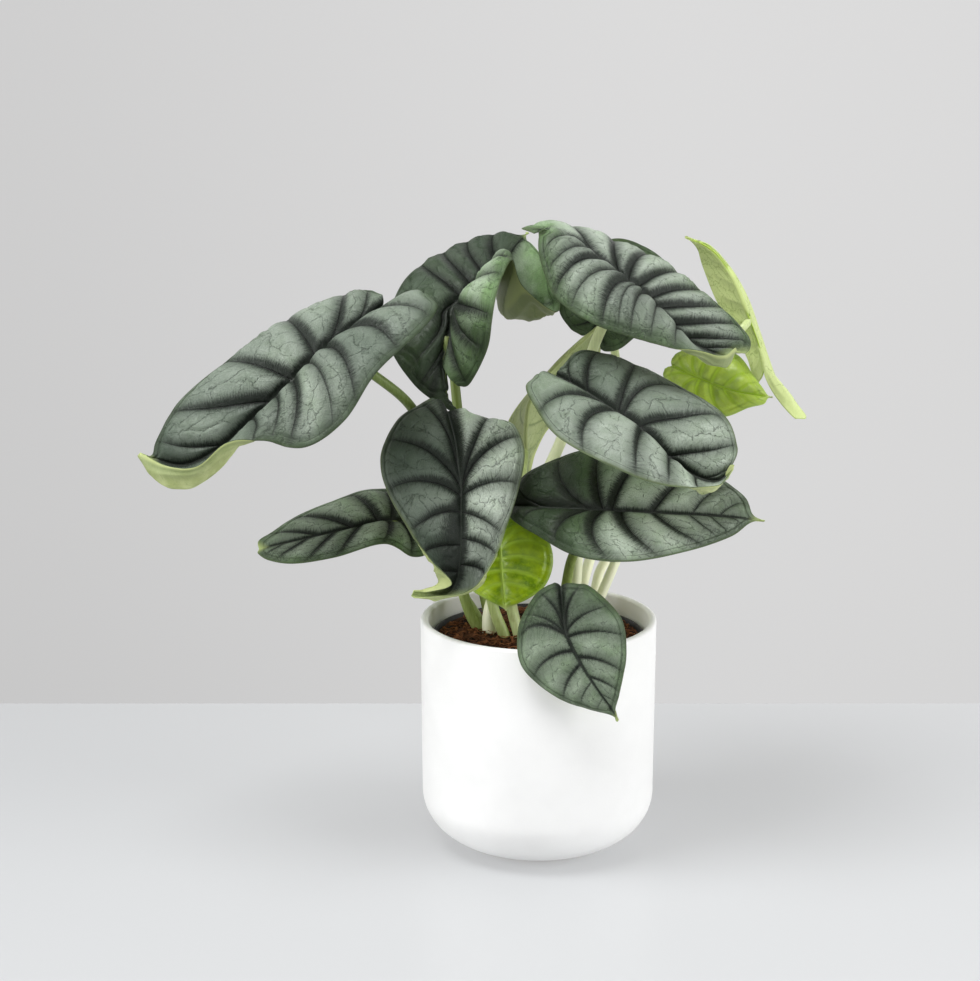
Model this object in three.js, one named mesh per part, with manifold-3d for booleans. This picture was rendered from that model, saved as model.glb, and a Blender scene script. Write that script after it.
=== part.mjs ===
// Potted silver dragon alocasia, in millimetres. +Z is up, +X is the plant's right as seen from
// its front, +Y points to its back, and the origin is the centre of the pot's flat foot.
import * as THREE from 'three';
import { mergeVertices } from 'three/addons/utils/BufferGeometryUtils.js';
import Module from 'manifold-3d';

const wasm = await Module();
wasm.setup();

// Cover pot: a round-bottomed ceramic cylinder
const POT_RADIUS = 65;
const POT_HEIGHT = 129.4;
const POT_WALL = 4.1;
const POT_FLOOR = 5;
const POT_FOOT_RADIUS = 27;
const POT_CURVE_TOP = 30;
const POT_LOWER_RADIUS = 64.5;
const POT_SIDES = 48;
const LIP_DROP = 1.8;
const LIP_SHOULDER_DROP = 0.5;
const LIP_SHOULDER_INSET = 0.6;
const OUTER_BEND_STEPS = 6;
const INNER_BEND_STEPS = 5;

// Nursery pot: a thin tapered plastic pot that stands in the cover pot
const NURSERY_BASE_Z = 8.3;
const NURSERY_BASE_RADIUS = 41;
const NURSERY_TOP_RADIUS = 57.2;
const NURSERY_RIM_RADIUS = 58.8;
const NURSERY_RIM_HEIGHT = 7;
const NURSERY_TOP_Z = 119.5;
const NURSERY_WALL = 1;
const DRAIN_HOLES = 6;
const DRAIN_RADIUS = 4;
const DRAIN_CIRCLE = 27;
const DRAIN_LENGTH = 6;
const DRAIN_SIDES = 10;

// Potting mix
const SOIL_TOP = 117;
const SOIL_MOUND = 2;
const SOIL_BUMP = 0.8;
const SOIL_SIDES = 36;
const SOIL_RINGS = [0.25, 0.5, 0.75, 0.93];
const SOIL_EDGE_DROP = 0.6;
const SOIL_CLEARANCE = 0.15;
const HOLE_CLEARANCE = 0.1;
// Wave numbers of the two sets of bumps, in radians per millimetre
const BROAD_BUMPS = [0.31, 0.27];
const FINE_BUMPS = [0.7, -0.6];
const FINE_BUMP_SHARE = 0.5;

// Leaves
// GAP is the clearance round a stalk in its hole and under its blade
const GAP = 0.4;
const BLADE_THICKNESS = 1;
const STALK_SIDES = 8;
const STALK_STEP = 12;
const STALK_FEWEST_STEPS = 7;
const CURVE_SAMPLES_PER_SPAN = 40;
// Half the share of a curve's length over which its direction is taken
const DIRECTION_REACH = 0.02;
const WELD_DISTANCE = 1e-4;
// A leaf whose last listed rib lies before LAST_RIB_START gets one more at TIP_START, which is
// TIP_WIDTH times as wide
const LAST_RIB_START = 0.92;
const TIP_START = 0.94;
const TIP_WIDTH = 0.22;
// How fast the first ribs run back along the midrib, and out from it, beside the notch
const NOTCH_NARROWING = 0.35;
const NOTCH_SPREAD = 0.4;
const RIB_STATIONS = [0, 0.05, 0.14, 0.3, 0.5, 0.7, 0.85];

const CERAMIC = { color: 0xf2f1ee, roughness: 0.55, metalness: 0 };
const BLACK_PLASTIC = { color: 0x2e2f31, roughness: 0.5, metalness: 0 };
const POTTING_MIX = { color: 0x4a2f20, roughness: 0.95, metalness: 0 };
const SILVER_LEAF = { color: 0x8b9b92, roughness: 0.5, metalness: 0 };
const DARK_LEAF = { color: 0x3f5f38, roughness: 0.5, metalness: 0 };
const YOUNG_LEAF = { color: 0x8fbf2f, roughness: 0.45, metalness: 0 };
const STALK_GREEN = { color: 0x9aae62, roughness: 0.5, metalness: 0 };

// Each leaf: the midrib from the notch between the back lobes to the tip, then the left and the
// right margin from the lobe to near the tip, as seen on the upper face with the tip up. Each
// margin point belongs to the rib that leaves the midrib at the same share of its length, in
// RIB_STATIONS unless the leaf lists its own. Bulge is how far a rib's middle rises above its
// chord, and via gives the middle itself where a rib curls over. The stalk runs from its foot in
// the potting mix to the joint, a share of the midrib's length, on the under face.
const LEAVES = [
  {
    name: 'far_left',
    midrib: [[-83, -25, 306], [-102, -35, 294], [-113, -40, 286], [-127, -47, 273],
      [-144, -55, 257], [-163, -62, 240], [-184, -66, 230], [-205, -68, 237]],
    leftAt: [0, 0.05, 0.14, 0.3, 0.45, 0.58, 0.68, 0.76, 0.87, 0.94],
    left: [[-58, -28, 312], [-54, -34, 307], [-61, -48, 298], [-84, -70, 279], [-100, -80, 256],
      [-120, -84, 243], [-141, -84, 248], [-159, -84, 245], [-174, -84, 233], [-190, -78, 232]],
    leftBulge: [2, 4, 7, 8, 8, 7],
    leftVia: [[6, [-149, -74, 247.5]], [7, [-162, -80, 230]], [8, [-179, -80, 219]],
      [9, [-194, -76, 222]]],
    right: [[-84, -16, 311], [-91, -10, 313], [-104, 2, 307], [-132, -4, 296], [-158, -24, 283],
      [-187, -44, 261], [-198, -58, 243]],
    rightBulge: [2, 3, 6, 8, 7, 4, 2],
    joint: 0.25,
    stalk: [[-32, 10, 100], [-32, 10, 116], [-39, 11, 131], [-50, 9, 170], [-61, 4, 222],
      [-69, -2, 247], [-88, -16, 267], [-103, -29, 279]],
    stalkRadius: [3.1, 2.5],
  },
  {
    name: 'top_left',
    midrib: [[-52, 4, 277], [-48, 10, 290], [-47, 16, 300], [-33, 34, 309], [-18, 54, 320],
      [-11, 64, 328], [-5, 74, 334]],
    left: [[-43, -8, 246], [-50, -10, 249], [-68, -6, 261], [-82, 6, 285], [-75, 40, 310],
      [-51, 76, 323], [-24, 82, 331]],
    leftBulge: [2, 2, 3, 4, 5, 3, 2],
    rightAt: [0, 0.05, 0.14, 0.3, 0.5, 0.62, 0.72, 0.82, 0.9],
    right: [[-44, -6, 259], [-38, -8, 261], [-29, -14, 280], [-26, -18, 300], [-22, -8, 317],
      [-14, 8, 327], [-8, 16, 310], [10, 38, 294], [7, 60, 312]],
    rightBulge: [2, 3, 5, 6, 6, 6, 4, 3, 2],
    rightVia: [[3, [-36, -4, 307]], [4, [-27, 14, 321]], [5, [-20, 28, 325]], [6, [-22, 44, 291]],
      [7, [-2, 56, 290]]],
    joint: 0.29,
    stalk: [[-22, 15, 100], [-23, 15, 116], [-29, 18, 133], [-39, 24, 189], [-44, 28, 234],
      [-47, 28, 273]],
    stalkRadius: [3.2, 2.5],
  },
  {
    name: 'centre',
    midrib: [[-49, -14, 248], [-45, -26, 234], [-43, -34, 220], [-42, -38, 210], [-42, -44, 195],
      [-42, -48, 180], [-44, -50, 164], [-51, -53, 157], [-67, -56, 158]],
    left: [[-36, -8, 245], [-23, -9, 242], [-13, -14, 240], [-8, -26, 226], [-14, -38, 200],
      [-28, -58, 174], [-39, -62, 162]],
    leftBulge: [1, 2, 4, 4, 4, -3, -2],
    leftVia: [[5, [-28, -48, 174]], [6, [-36, -56, 159]]],
    right: [[-59, -10, 254], [-65, -12, 251], [-77, -18, 243], [-85, -28, 225], [-79, -38, 204],
      [-58, -60, 180], [-46, -62, 166]],
    rightBulge: [1, 2, 4, 4, 4, -3, -2],
    rightVia: [[5, [-60, -51, 180]], [6, [-53, -56, 165]]],
    joint: 0.42,
    stalk: [[-18, -4, 100], [-18, -4, 116], [-25, -4, 136], [-30, -2, 162], [-36, -7, 189]],
    stalkRadius: [3, 2.4],
  },
  {
    name: 'top_right',
    midrib: [[9, 20, 339], [22, 14, 334], [35, 8, 324], [49, 0, 315], [62, -6, 302],
      [73, -10, 290], [84, -14, 283], [96, -18, 279], [101, -22, 283]],
    leftAt: [0, 0.05, 0.14, 0.3, 0.5, 0.7, 0.85, 0.93],
    left: [[-3, 24, 339], [-9, 32, 341], [10, 46, 339], [41, 50, 329], [69, 38, 319],
      [95, 16, 303], [111, -4, 288], [110, -16, 281]],
    leftBulge: [1, 2, 4, 6, 6, 4, 2, 1],
    rightAt: [0, 0.05, 0.14, 0.3, 0.5, 0.7, 0.85, 0.93],
    right: [[3, 10, 341], [-1, 6, 337], [0, -6, 326], [8, -20, 309], [29, -34, 297],
      [56, -36, 289], [82, -36, 284], [94, -34, 281]],
    rightBulge: [1, 3, 6, 9, 9, 5, 2],
    rightVia: [[6, [84, -30, 275]], [7, [96, -28, 274]]],
    joint: 0.41,
    stalk: [[-27, 1, 100], [-27, 2, 116], [-26, 7, 134], [-11, 8, 176], [11, 14, 222],
      [25, 16, 261], [31, 14, 281], [40, 9, 301]],
    stalkRadius: [3.6, 2.8],
  },
  {
    name: 'middle_right',
    midrib: [[8, -24, 269], [23, -31, 262], [39, -40, 253], [53, -46, 244], [65, -52, 232],
      [80, -58, 222], [91, -62, 221], [97, -64, 230]],
    left: [[11, -20, 273], [17, -14, 279], [27, -8, 280], [47, -8, 274], [72, -14, 263],
      [94, -46, 253], [101, -56, 237]],
    leftBulge: [1, 2, 4, 5, 5, 4, 2],
    right: [[-4, -28, 269], [-8, -34, 265], [-4, -44, 257], [8, -62, 244], [35, -82, 233],
      [59, -82, 224], [86, -78, 222]],
    rightBulge: [1, 2, 4, 5, 5, 3, 0],
    rightVia: [[6, [83, -72, 216]]],
    joint: 0.33,
    stalk: [[18, 8, 100], [18, 8, 116], [20, 8, 136], [22, 9, 167], [25, 8, 199], [29, 4, 222],
      [34, -20, 242]],
    stalkRadius: [3.4, 2.6],
  },
  {
    name: 'lower_right',
    midrib: [[-17, -20, 197], [10, -32, 199], [37, -42, 200], [63, -48, 200], [90, -53, 200],
      [116, -58, 199]],
    left: [[-16, -14, 200], [-13, -9, 207], [-2, -5, 215], [26, -4, 225], [62, -14, 226],
      [88, -28, 219], [106, -44, 209]],
    leftBulge: [1, 2, 3, 4, 4, 3, 1],
    right: [[-18, -26, 194], [-14, -34, 192], [-4, -44, 188], [17, -66, 182], [45, -74, 181],
      [76, -68, 185], [98, -62, 191]],
    rightBulge: [1, 2, 3, 4, 4, 3, 1],
    joint: 0.4,
    stalk: [[9, 0, 100], [9, 0, 116], [14, -4, 142], [18, -14, 167], [27, -28, 185]],
    stalkRadius: [3.2, 2.3],
  },
  {
    name: 'front_small',
    midrib: [[10, -66, 165], [11, -70, 153], [13, -73, 141], [20, -76, 127], [29, -78, 113],
      [36, -78, 103], [40, -78, 95]],
    left: [[13, -66, 167], [18, -67, 167], [26, -68, 165], [41, -72, 150], [44, -75, 131],
      [41, -77, 112], [39, -78, 103]],
    leftBulge: [0, 1, 2, 2, 2, 1, 1],
    right: [[7, -65, 167], [2, -66, 165], [-4, -67, 160], [-12, -70, 144], [-10, -72, 123],
      [8, -74, 107], [25, -76, 101]],
    rightBulge: [0, 1, 2, 2, 2, 1, 1],
    joint: 0.34,
    stalk: [[14, -14, 100], [14, -15, 114], [14, -32, 134], [14, -52, 145], [13.5, -64, 146]],
    stalkRadius: [2.8, 1.9],
  },
  {
    name: 'low_left',
    midrib: [[-61, 16, 178], [-84, 6, 182], [-106, -2, 179], [-130, -8, 175], [-152, -12, 171]],
    leftAt: [0, 0.05, 0.14, 0.3, 0.5, 0.7, 0.85, 0.94],
    left: [[-60, 10, 172], [-60, 4, 165], [-69, -2, 164], [-84, -12, 174], [-110, -18, 168],
      [-132, -20, 165], [-146, -17, 166], [-152, -14, 169]],
    leftBulge: [0, 1, 2, 3, 3, 2, 1, 0],
    rightAt: [0, 0.05, 0.14, 0.3, 0.5, 0.7, 0.85, 0.94],
    right: [[-61, 22, 183], [-66, 26, 189], [-76, 26, 195], [-96, 22, 196], [-115, 14, 191],
      [-133, 6, 185], [-145, -4, 179], [-152, -9, 175]],
    rightBulge: [0, 1, 2, 3, 3, 2, 1, 0],
    joint: 0.25,
    stalk: [[-32, 23, 100], [-32, 23, 116], [-40, 26, 131], [-55, 24, 154], [-67, 16, 171]],
    stalkRadius: [2.9, 2.2],
  },
  {
    name: 'young_low',
    midrib: [[-22, -14, 186], [-21, -20, 173], [-20, -25, 157], [-19, -28, 145], [-18, -27, 140]],
    left: [[-19, -14, 188], [-15, -14, 189], [-8, -16, 187], [4, -22, 179], [7, -26, 167],
      [3, -28, 155], [-6, -30, 148]],
    leftBulge: [0, 1, 2, 3, 3, 2, 1],
    right: [[-25, -14, 188], [-29, -14, 187], [-35, -12, 182], [-44, -10, 172], [-46, -12, 160],
      [-38, -20, 151], [-28, -26, 146]],
    rightBulge: [0, 1, 2, 3, 3, 2, 1],
    joint: 0.3,
    stalk: [[-10, -5, 100], [-10, -5, 116], [-15, -3, 134], [-17, -9, 152]],
    stalkRadius: [3.2, 2],
  },
  {
    name: 'young_right',
    midrib: [[75, 46, 261], [90, 38, 255], [108, 28, 250], [120, 22, 249], [128, 18, 249]],
    left: [[75, 48, 265], [78, 49, 268], [85, 50, 270], [97, 48, 270], [111, 42, 268],
      [119, 32, 258], [123, 24, 253]],
    leftBulge: [0, 1, 2, 3, 3, 2, 1],
    right: [[71, 44, 260], [70, 42, 256], [75, 38, 249], [85, 28, 241], [101, 22, 237],
      [115, 18, 243], [123, 18, 245]],
    rightBulge: [0, 1, 2, 3, 3, 2, 1],
    joint: 0.3,
    stalk: [[26, 12, 100], [26, 12, 116], [36, 15, 139], [43, 18, 155], [57, 30, 185],
      [73, 44, 216], [85, 50, 240]],
    stalkRadius: [3, 2.1],
  },
  {
    name: 'far_right',
    midrib: [[124, 30, 263], [121, 28, 276], [114, 28, 294], [106, 32, 313], [95, 36, 327],
      [80, 40, 334]],
    left: [[142, 26, 235], [148, 30, 236], [135, 42, 250], [124, 48, 279], [117, 50, 298],
      [107, 50, 315], [95, 46, 328]],
    leftBulge: [0, 1, 2, 2, 2, 2, 1],
    right: [[121, 34, 253], [119, 38, 257], [117, 42, 265], [110, 46, 279], [99, 46, 298],
      [91, 46, 317], [88, 44, 326]],
    rightBulge: [0, 1, 2, 2, 2, 2, 1],
    joint: 0.32,
    stalk: [[30, 24, 100], [30, 24, 116], [33, 26, 139], [38, 28, 153], [61, 40, 185],
      [86, 56, 222], [99, 60, 255], [103, 51, 272], [106, 36, 280], [110, 20, 286]],
    stalkRadius: [3, 2.1],
  },
  {
    name: 'back_dark',
    midrib: [[30, 58, 277], [40, 62, 292], [58, 68, 304], [88, 76, 298]],
    left: [[25, 56, 277], [18, 56, 281], [12, 56, 294], [21, 62, 317], [42, 72, 329],
      [61, 78, 324], [77, 78, 312]],
    leftBulge: [0, 1, 2, 3, 3, 2, 1],
    right: [[33, 56, 271], [38, 54, 268], [47, 54, 270], [60, 56, 280], [72, 62, 283],
      [81, 68, 288], [85, 72, 293]],
    rightBulge: [0, 1, 2, 3, 3, 2, 1],
    joint: 0.3,
    stalk: [[20, 27, 100], [20, 27, 116], [26, 34, 139], [36, 50, 171], [44, 68, 214],
      [46, 80, 253], [42, 76, 279]],
    stalkRadius: [3.2, 2.3],
  },
  {
    name: 'back_rolled',
    midrib: [[-10, 14, 204], [-7, 20, 212], [-7, 28, 228], [-4, 34, 245], [10, 40, 263],
      [33, 46, 283]],
    left: [[-6, 18, 203], [-4, 28, 206], [-1, 42, 213], [6, 52, 224], [19, 56, 235], [30, 56, 252],
      [35, 52, 269]],
    leftBulge: [0, 1, 2, 2, 2, 2, 1],
    right: [[-13, 18, 204], [-17, 28, 208], [-18, 42, 216], [-16, 54, 228], [-4, 60, 244],
      [12, 58, 261], [24, 54, 273]],
    rightBulge: [0, 1, 2, 2, 2, 2, 1],
    joint: 0.18,
    stalk: [[-12, 16, 100], [-12, 16, 116], [-15, 17, 134], [-17, 18, 156], [-15, 16, 175],
      [-13, 8, 190], [-10, 6, 202]],
    stalkRadius: [3, 2.2],
  },
];

// Leaves that are not silver, and the small ones that need a coarser net
const LEAF_COLOURS = {
  young_low: YOUNG_LEAF, young_right: YOUNG_LEAF, back_dark: DARK_LEAF, top_left: DARK_LEAF,
  lower_right: DARK_LEAF,
};
const LARGE_LEAVES = ['far_left', 'top_left', 'centre', 'top_right', 'middle_right', 'lower_right'];
const LARGE_NET = { rows: 21, columns: 6 };
const SMALL_NET = { rows: 16, columns: 4 };

// A smooth curve through evenly numbered points, as a function of the point number
function through(points, x) {
  const last = points.length - 1;
  const at = Math.min(Math.max(x, 0), last);
  const i = Math.min(Math.floor(at), last - 1);
  const f = at - i;
  const get = (k, c) => {
    if (k < 0) return 2 * points[0][c] - points[1][c];
    if (k > last) return 2 * points[last][c] - points[last - 1][c];
    return points[k][c];
  };
  return points[0].map((_, c) => {
    const p0 = get(i - 1, c);
    const p1 = get(i, c);
    const p2 = get(i + 1, c);
    const p3 = get(i + 2, c);
    const quadratic = (2 * p0 - 5 * p1 + 4 * p2 - p3) * f * f;
    const cubic = (-p0 + 3 * p1 - 3 * p2 + p3) * f * f * f;
    return 0.5 * (2 * p1 + (p2 - p0) * f + quadratic + cubic);
  });
}

const vector = (p) => new THREE.Vector3(...p);
const mix = (a, b, t) => a.clone().lerp(b, t);

// A curve measured along its length: a point and a direction at any share of it
function measuredCurve(points) {
  const count = (points.length - 1) * CURVE_SAMPLES_PER_SPAN;
  const samples = [];
  const lengths = [0];
  for (let k = 0; k <= count; k += 1) {
    samples.push(vector(through(points, k / CURVE_SAMPLES_PER_SPAN)));
    if (k > 0) lengths.push(lengths[k - 1] + samples[k].distanceTo(samples[k - 1]));
  }
  const length = lengths[count];
  const pointAt = (share) => {
    const target = Math.min(Math.max(share, 0), 1) * length;
    let k = 1;
    while (k < count && lengths[k] < target) k += 1;
    const span = lengths[k] - lengths[k - 1];
    return mix(samples[k - 1], samples[k], span > 0 ? (target - lengths[k - 1]) / span : 0);
  };
  const directionAt = (share) => {
    const before = pointAt(Math.max(share - DIRECTION_REACH, 0));
    const after = pointAt(Math.min(share + DIRECTION_REACH, 1));
    return after.sub(before).normalize();
  };
  return { length, pointAt, directionAt };
}

// One half of a blade as rows of points from the midrib to the margin
function halfNet(leaf, side, rows, columns) {
  const sign = side === 'right' ? 1 : -1;
  const midrib = measuredCurve(leaf.midrib);
  const stations = [...(leaf[`${side}At`] ?? RIB_STATIONS)];
  const edges = leaf[side].map(vector);
  const bulges = leaf[`${side}Bulge`];
  const via = new Map(leaf[`${side}Via`] ?? []);
  const middles = edges.map((edge, k) => {
    if (via.has(k)) return vector(via.get(k));
    const root = midrib.pointAt(stations[k]);
    const across = edge.clone().sub(root);
    const up = across.clone().cross(midrib.directionAt(stations[k])).multiplyScalar(sign).normalize();
    const bulge = bulges[Math.min(k, bulges.length - 1)];
    return mix(root, edge, 0.5).addScaledVector(up, bulge);
  });
  if (stations[stations.length - 1] < LAST_RIB_START) {
    const lastRoot = midrib.pointAt(stations[stations.length - 1]);
    const root = midrib.pointAt(TIP_START);
    const narrowed = (p) => root.clone().addScaledVector(p.clone().sub(lastRoot), TIP_WIDTH);
    edges.push(narrowed(edges[edges.length - 1]));
    middles.push(narrowed(middles[middles.length - 1]));
    stations.push(TIP_START);
  }
  const tip = midrib.pointAt(1);
  edges.push(tip);
  middles.push(tip);
  stations.push(1);
  const edgeList = edges.map((p) => p.toArray());
  const middleList = middles.map((p) => p.toArray());
  const stationList = stations.map((s) => [s]);
  const net = [];
  for (let i = 0; i < rows; i += 1) {
    const x = ((stations.length - 1) * i) / (rows - 1);
    const share = Math.min(Math.max(through(stationList, x)[0], 0), 1);
    const root = midrib.pointAt(share);
    const along = midrib.directionAt(share);
    const edge = vector(through(edgeList, x));
    const middle = vector(through(middleList, x));
    const control = middle.clone().multiplyScalar(2).sub(mix(root, edge, 0.5));
    const narrowing = Math.max(0, 1 - x);
    const row = [];
    for (let j = 0; j <= columns; j += 1) {
      const t = j / columns;
      const point = root.clone().multiplyScalar((1 - t) ** 2);
      point.addScaledVector(control, 2 * t * (1 - t)).addScaledVector(edge, t * t);
      if (narrowing > 0 && j > 0) {
        const offset = point.clone().sub(root);
        const forward = along.clone().multiplyScalar(offset.dot(along));
        const sideways = offset.clone().sub(forward);
        point.copy(root).addScaledVector(forward, t ** (-NOTCH_NARROWING * narrowing));
        point.addScaledVector(sideways, t ** (NOTCH_SPREAD * narrowing));
      }
      row.push(point);
    }
    net.push({ share, row });
  }
  return net;
}

// The right half's rows moved to the same shares of the midrib as the left half's
function matchRows(net, shares) {
  return shares.map((share) => {
    let k = 1;
    while (k < net.length - 1 && net[k].share < share) k += 1;
    const span = net[k].share - net[k - 1].share;
    const t = span > 0 ? Math.min(Math.max((share - net[k - 1].share) / span, 0), 1) : 0;
    return net[k - 1].row.map((p, j) => mix(p, net[k].row[j], t));
  });
}

// The whole blade as rows of points from the left margin over the midrib to the right margin
function bladeNet(leaf) {
  const { rows, columns } = LARGE_LEAVES.includes(leaf.name) ? LARGE_NET : SMALL_NET;
  const left = halfNet(leaf, 'left', rows, columns);
  const right = matchRows(halfNet(leaf, 'right', rows, columns), left.map((r) => r.share));
  return left.map((r, i) => [...r.row.slice().reverse(), ...right[i].slice(1)]);
}

// A geometry from a list of coordinates and a list of corner numbers
function geometryFrom(positions, indices) {
  const geometry = new THREE.BufferGeometry();
  geometry.setAttribute('position', new THREE.Float32BufferAttribute(positions, 3));
  geometry.setIndex(indices);
  return geometry;
}

// A blade of even thickness on a net of points, split alike on its upper and lower face
function bladeGeometry(net, thickness) {
  const rows = net.length - 1;
  const wide = net[0].length;
  const normalAt = (i, j) => {
    const across = net[i][Math.min(j + 1, wide - 1)].clone().sub(net[i][Math.max(j - 1, 0)]);
    const along = net[Math.min(i + 1, rows)][j].clone().sub(net[Math.max(i - 1, 0)][j]);
    return across.cross(along).normalize();
  };
  const upper = [];
  const lower = [];
  const put = (point, normal) => {
    upper.push(...point.clone().addScaledVector(normal, thickness / 2).toArray());
    lower.push(...point.clone().addScaledVector(normal, -thickness / 2).toArray());
  };
  const tipNormal = new THREE.Vector3();
  for (let i = 0; i < rows; i += 1) {
    for (let j = 0; j < wide; j += 1) {
      const normal = normalAt(i, j);
      put(net[i][j], normal);
      if (i === rows - 1) tipNormal.add(normal);
    }
  }
  put(net[rows][0], tipNormal.normalize());
  const count = rows * wide + 1;
  const tip = count - 1;
  const indices = [];
  const face = (a, b, c) => {
    indices.push(a, b, c);
    indices.push(a + count, c + count, b + count);
  };
  for (let i = 0; i < rows - 1; i += 1) {
    for (let j = 0; j < wide - 1; j += 1) {
      const a = i * wide + j;
      face(a, a + 1, a + wide + 1);
      face(a, a + wide + 1, a + wide);
    }
  }
  for (let j = 0; j < wide - 1; j += 1) face((rows - 1) * wide + j, (rows - 1) * wide + j + 1, tip);
  const border = [];
  for (let j = 0; j < wide - 1; j += 1) border.push(j);
  for (let i = 0; i < rows; i += 1) border.push(i * wide + wide - 1);
  border.push(tip);
  for (let i = rows - 1; i > 0; i -= 1) border.push(i * wide);
  border.forEach((a, k) => {
    const b = border[(k + 1) % border.length];
    indices.push(a, a + count, b + count, a, b + count, b);
  });
  return geometryFrom([...upper, ...lower], indices);
}

// A round tapered stalk along a curve, with closed ends
function stalkGeometry(points, radii, grow) {
  const curve = measuredCurve(points);
  const steps = Math.max(STALK_FEWEST_STEPS, Math.round(curve.length / STALK_STEP));
  const positions = [];
  let side = new THREE.Vector3(1, 0, 0);
  for (let i = 0; i <= steps; i += 1) {
    const share = i / steps;
    const centre = curve.pointAt(share);
    const along = curve.directionAt(share);
    side = side.clone().addScaledVector(along, -side.dot(along)).normalize();
    const other = along.clone().cross(side);
    const radius = radii[0] + (radii[1] - radii[0]) * share + grow;
    for (let k = 0; k < STALK_SIDES; k += 1) {
      const angle = (2 * Math.PI * k) / STALK_SIDES;
      const point = centre.clone().addScaledVector(side, radius * Math.cos(angle));
      positions.push(...point.addScaledVector(other, radius * Math.sin(angle)).toArray());
    }
  }
  const indices = [];
  for (let i = 0; i < steps; i += 1) {
    for (let k = 0; k < STALK_SIDES; k += 1) {
      const a = i * STALK_SIDES + k;
      const b = i * STALK_SIDES + ((k + 1) % STALK_SIDES);
      indices.push(a, b, b + STALK_SIDES, a, b + STALK_SIDES, a + STALK_SIDES);
    }
  }
  const top = steps * STALK_SIDES;
  for (let k = 1; k < STALK_SIDES - 1; k += 1) {
    indices.push(0, k + 1, k);
    indices.push(top, top + k, top + k + 1);
  }
  return geometryFrom(positions, indices);
}

// A solid that can be cut, and back to a geometry
function toSolid(geometry) {
  const bare = geometry.clone();
  bare.deleteAttribute('normal');
  bare.deleteAttribute('uv');
  const merged = mergeVertices(bare, WELD_DISTANCE);
  const vertProperties = new Float32Array(merged.attributes.position.array);
  const triVerts = new Uint32Array(merged.index.array);
  return new wasm.Manifold(new wasm.Mesh({ numProp: 3, vertProperties, triVerts }));
}

function toGeometry(solid) {
  const mesh = solid.getMesh();
  return geometryFrom(Array.from(mesh.vertProperties), Array.from(mesh.triVerts));
}

// The largest of the bodies that a cut leaves
function largestBody(solid) {
  const bodies = solid.decompose();
  return bodies.reduce((best, body) => (body.volume() > best.volume() ? body : best));
}

// A profile of radii and heights turned round the vertical axis
function turnedGeometry(profile, sides) {
  const points = profile.map(([r, z]) => new THREE.Vector2(r, z));
  const geometry = new THREE.LatheGeometry(points, sides);
  geometry.rotateX(Math.PI / 2);
  return geometry;
}

// The cover pot: its outside from the foot up, the rounded lip and its inside down to the floor
function potGeometry() {
  const bend = (radius, foot, floor, count) => {
    const list = [];
    for (let k = 0; k <= count; k += 1) {
      const angle = (Math.PI / 2) * (k / count);
      const r = foot + (radius - foot) * Math.sin(angle);
      list.push([r, POT_CURVE_TOP - (POT_CURVE_TOP - floor) * Math.cos(angle)]);
    }
    return list;
  };
  const inner = POT_RADIUS - POT_WALL;
  const outside = bend(POT_LOWER_RADIUS, POT_FOOT_RADIUS, 0, OUTER_BEND_STEPS);
  const inside = bend(POT_LOWER_RADIUS - POT_WALL, POT_FOOT_RADIUS, POT_FLOOR, INNER_BEND_STEPS);
  const lip = [
    [POT_RADIUS, POT_HEIGHT - LIP_DROP],
    [POT_RADIUS - LIP_SHOULDER_INSET, POT_HEIGHT - LIP_SHOULDER_DROP],
    [POT_RADIUS - POT_WALL / 2, POT_HEIGHT],
    [inner + LIP_SHOULDER_INSET, POT_HEIGHT - LIP_SHOULDER_DROP],
    [inner, POT_HEIGHT - LIP_DROP],
  ];
  return turnedGeometry([[0, 0], ...outside, ...lip, ...inside.reverse(), [0, POT_FLOOR]], POT_SIDES);
}

// The nursery pot: tapered, with a stepped-out rim and drain holes in its floor
function nurseryGeometry() {
  const rimZ = NURSERY_TOP_Z - NURSERY_RIM_HEIGHT;
  let solid = toSolid(turnedGeometry([
    [0, NURSERY_BASE_Z], [NURSERY_BASE_RADIUS, NURSERY_BASE_Z], [NURSERY_TOP_RADIUS, rimZ],
    [NURSERY_RIM_RADIUS, rimZ], [NURSERY_RIM_RADIUS, NURSERY_TOP_Z],
    [NURSERY_RIM_RADIUS - NURSERY_WALL, NURSERY_TOP_Z],
    [NURSERY_TOP_RADIUS - NURSERY_WALL, rimZ],
    [NURSERY_BASE_RADIUS - NURSERY_WALL, NURSERY_BASE_Z + NURSERY_WALL],
    [0, NURSERY_BASE_Z + NURSERY_WALL],
  ], POT_SIDES));
  for (let k = 0; k < DRAIN_HOLES; k += 1) {
    const angle = (2 * Math.PI * k) / DRAIN_HOLES;
    const hole = new THREE.CylinderGeometry(DRAIN_RADIUS, DRAIN_RADIUS, DRAIN_LENGTH, DRAIN_SIDES);
    hole.rotateX(Math.PI / 2);
    hole.translate(DRAIN_CIRCLE * Math.cos(angle), DRAIN_CIRCLE * Math.sin(angle), NURSERY_BASE_Z);
    solid = solid.subtract(toSolid(hole));
  }
  return toGeometry(solid);
}

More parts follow.
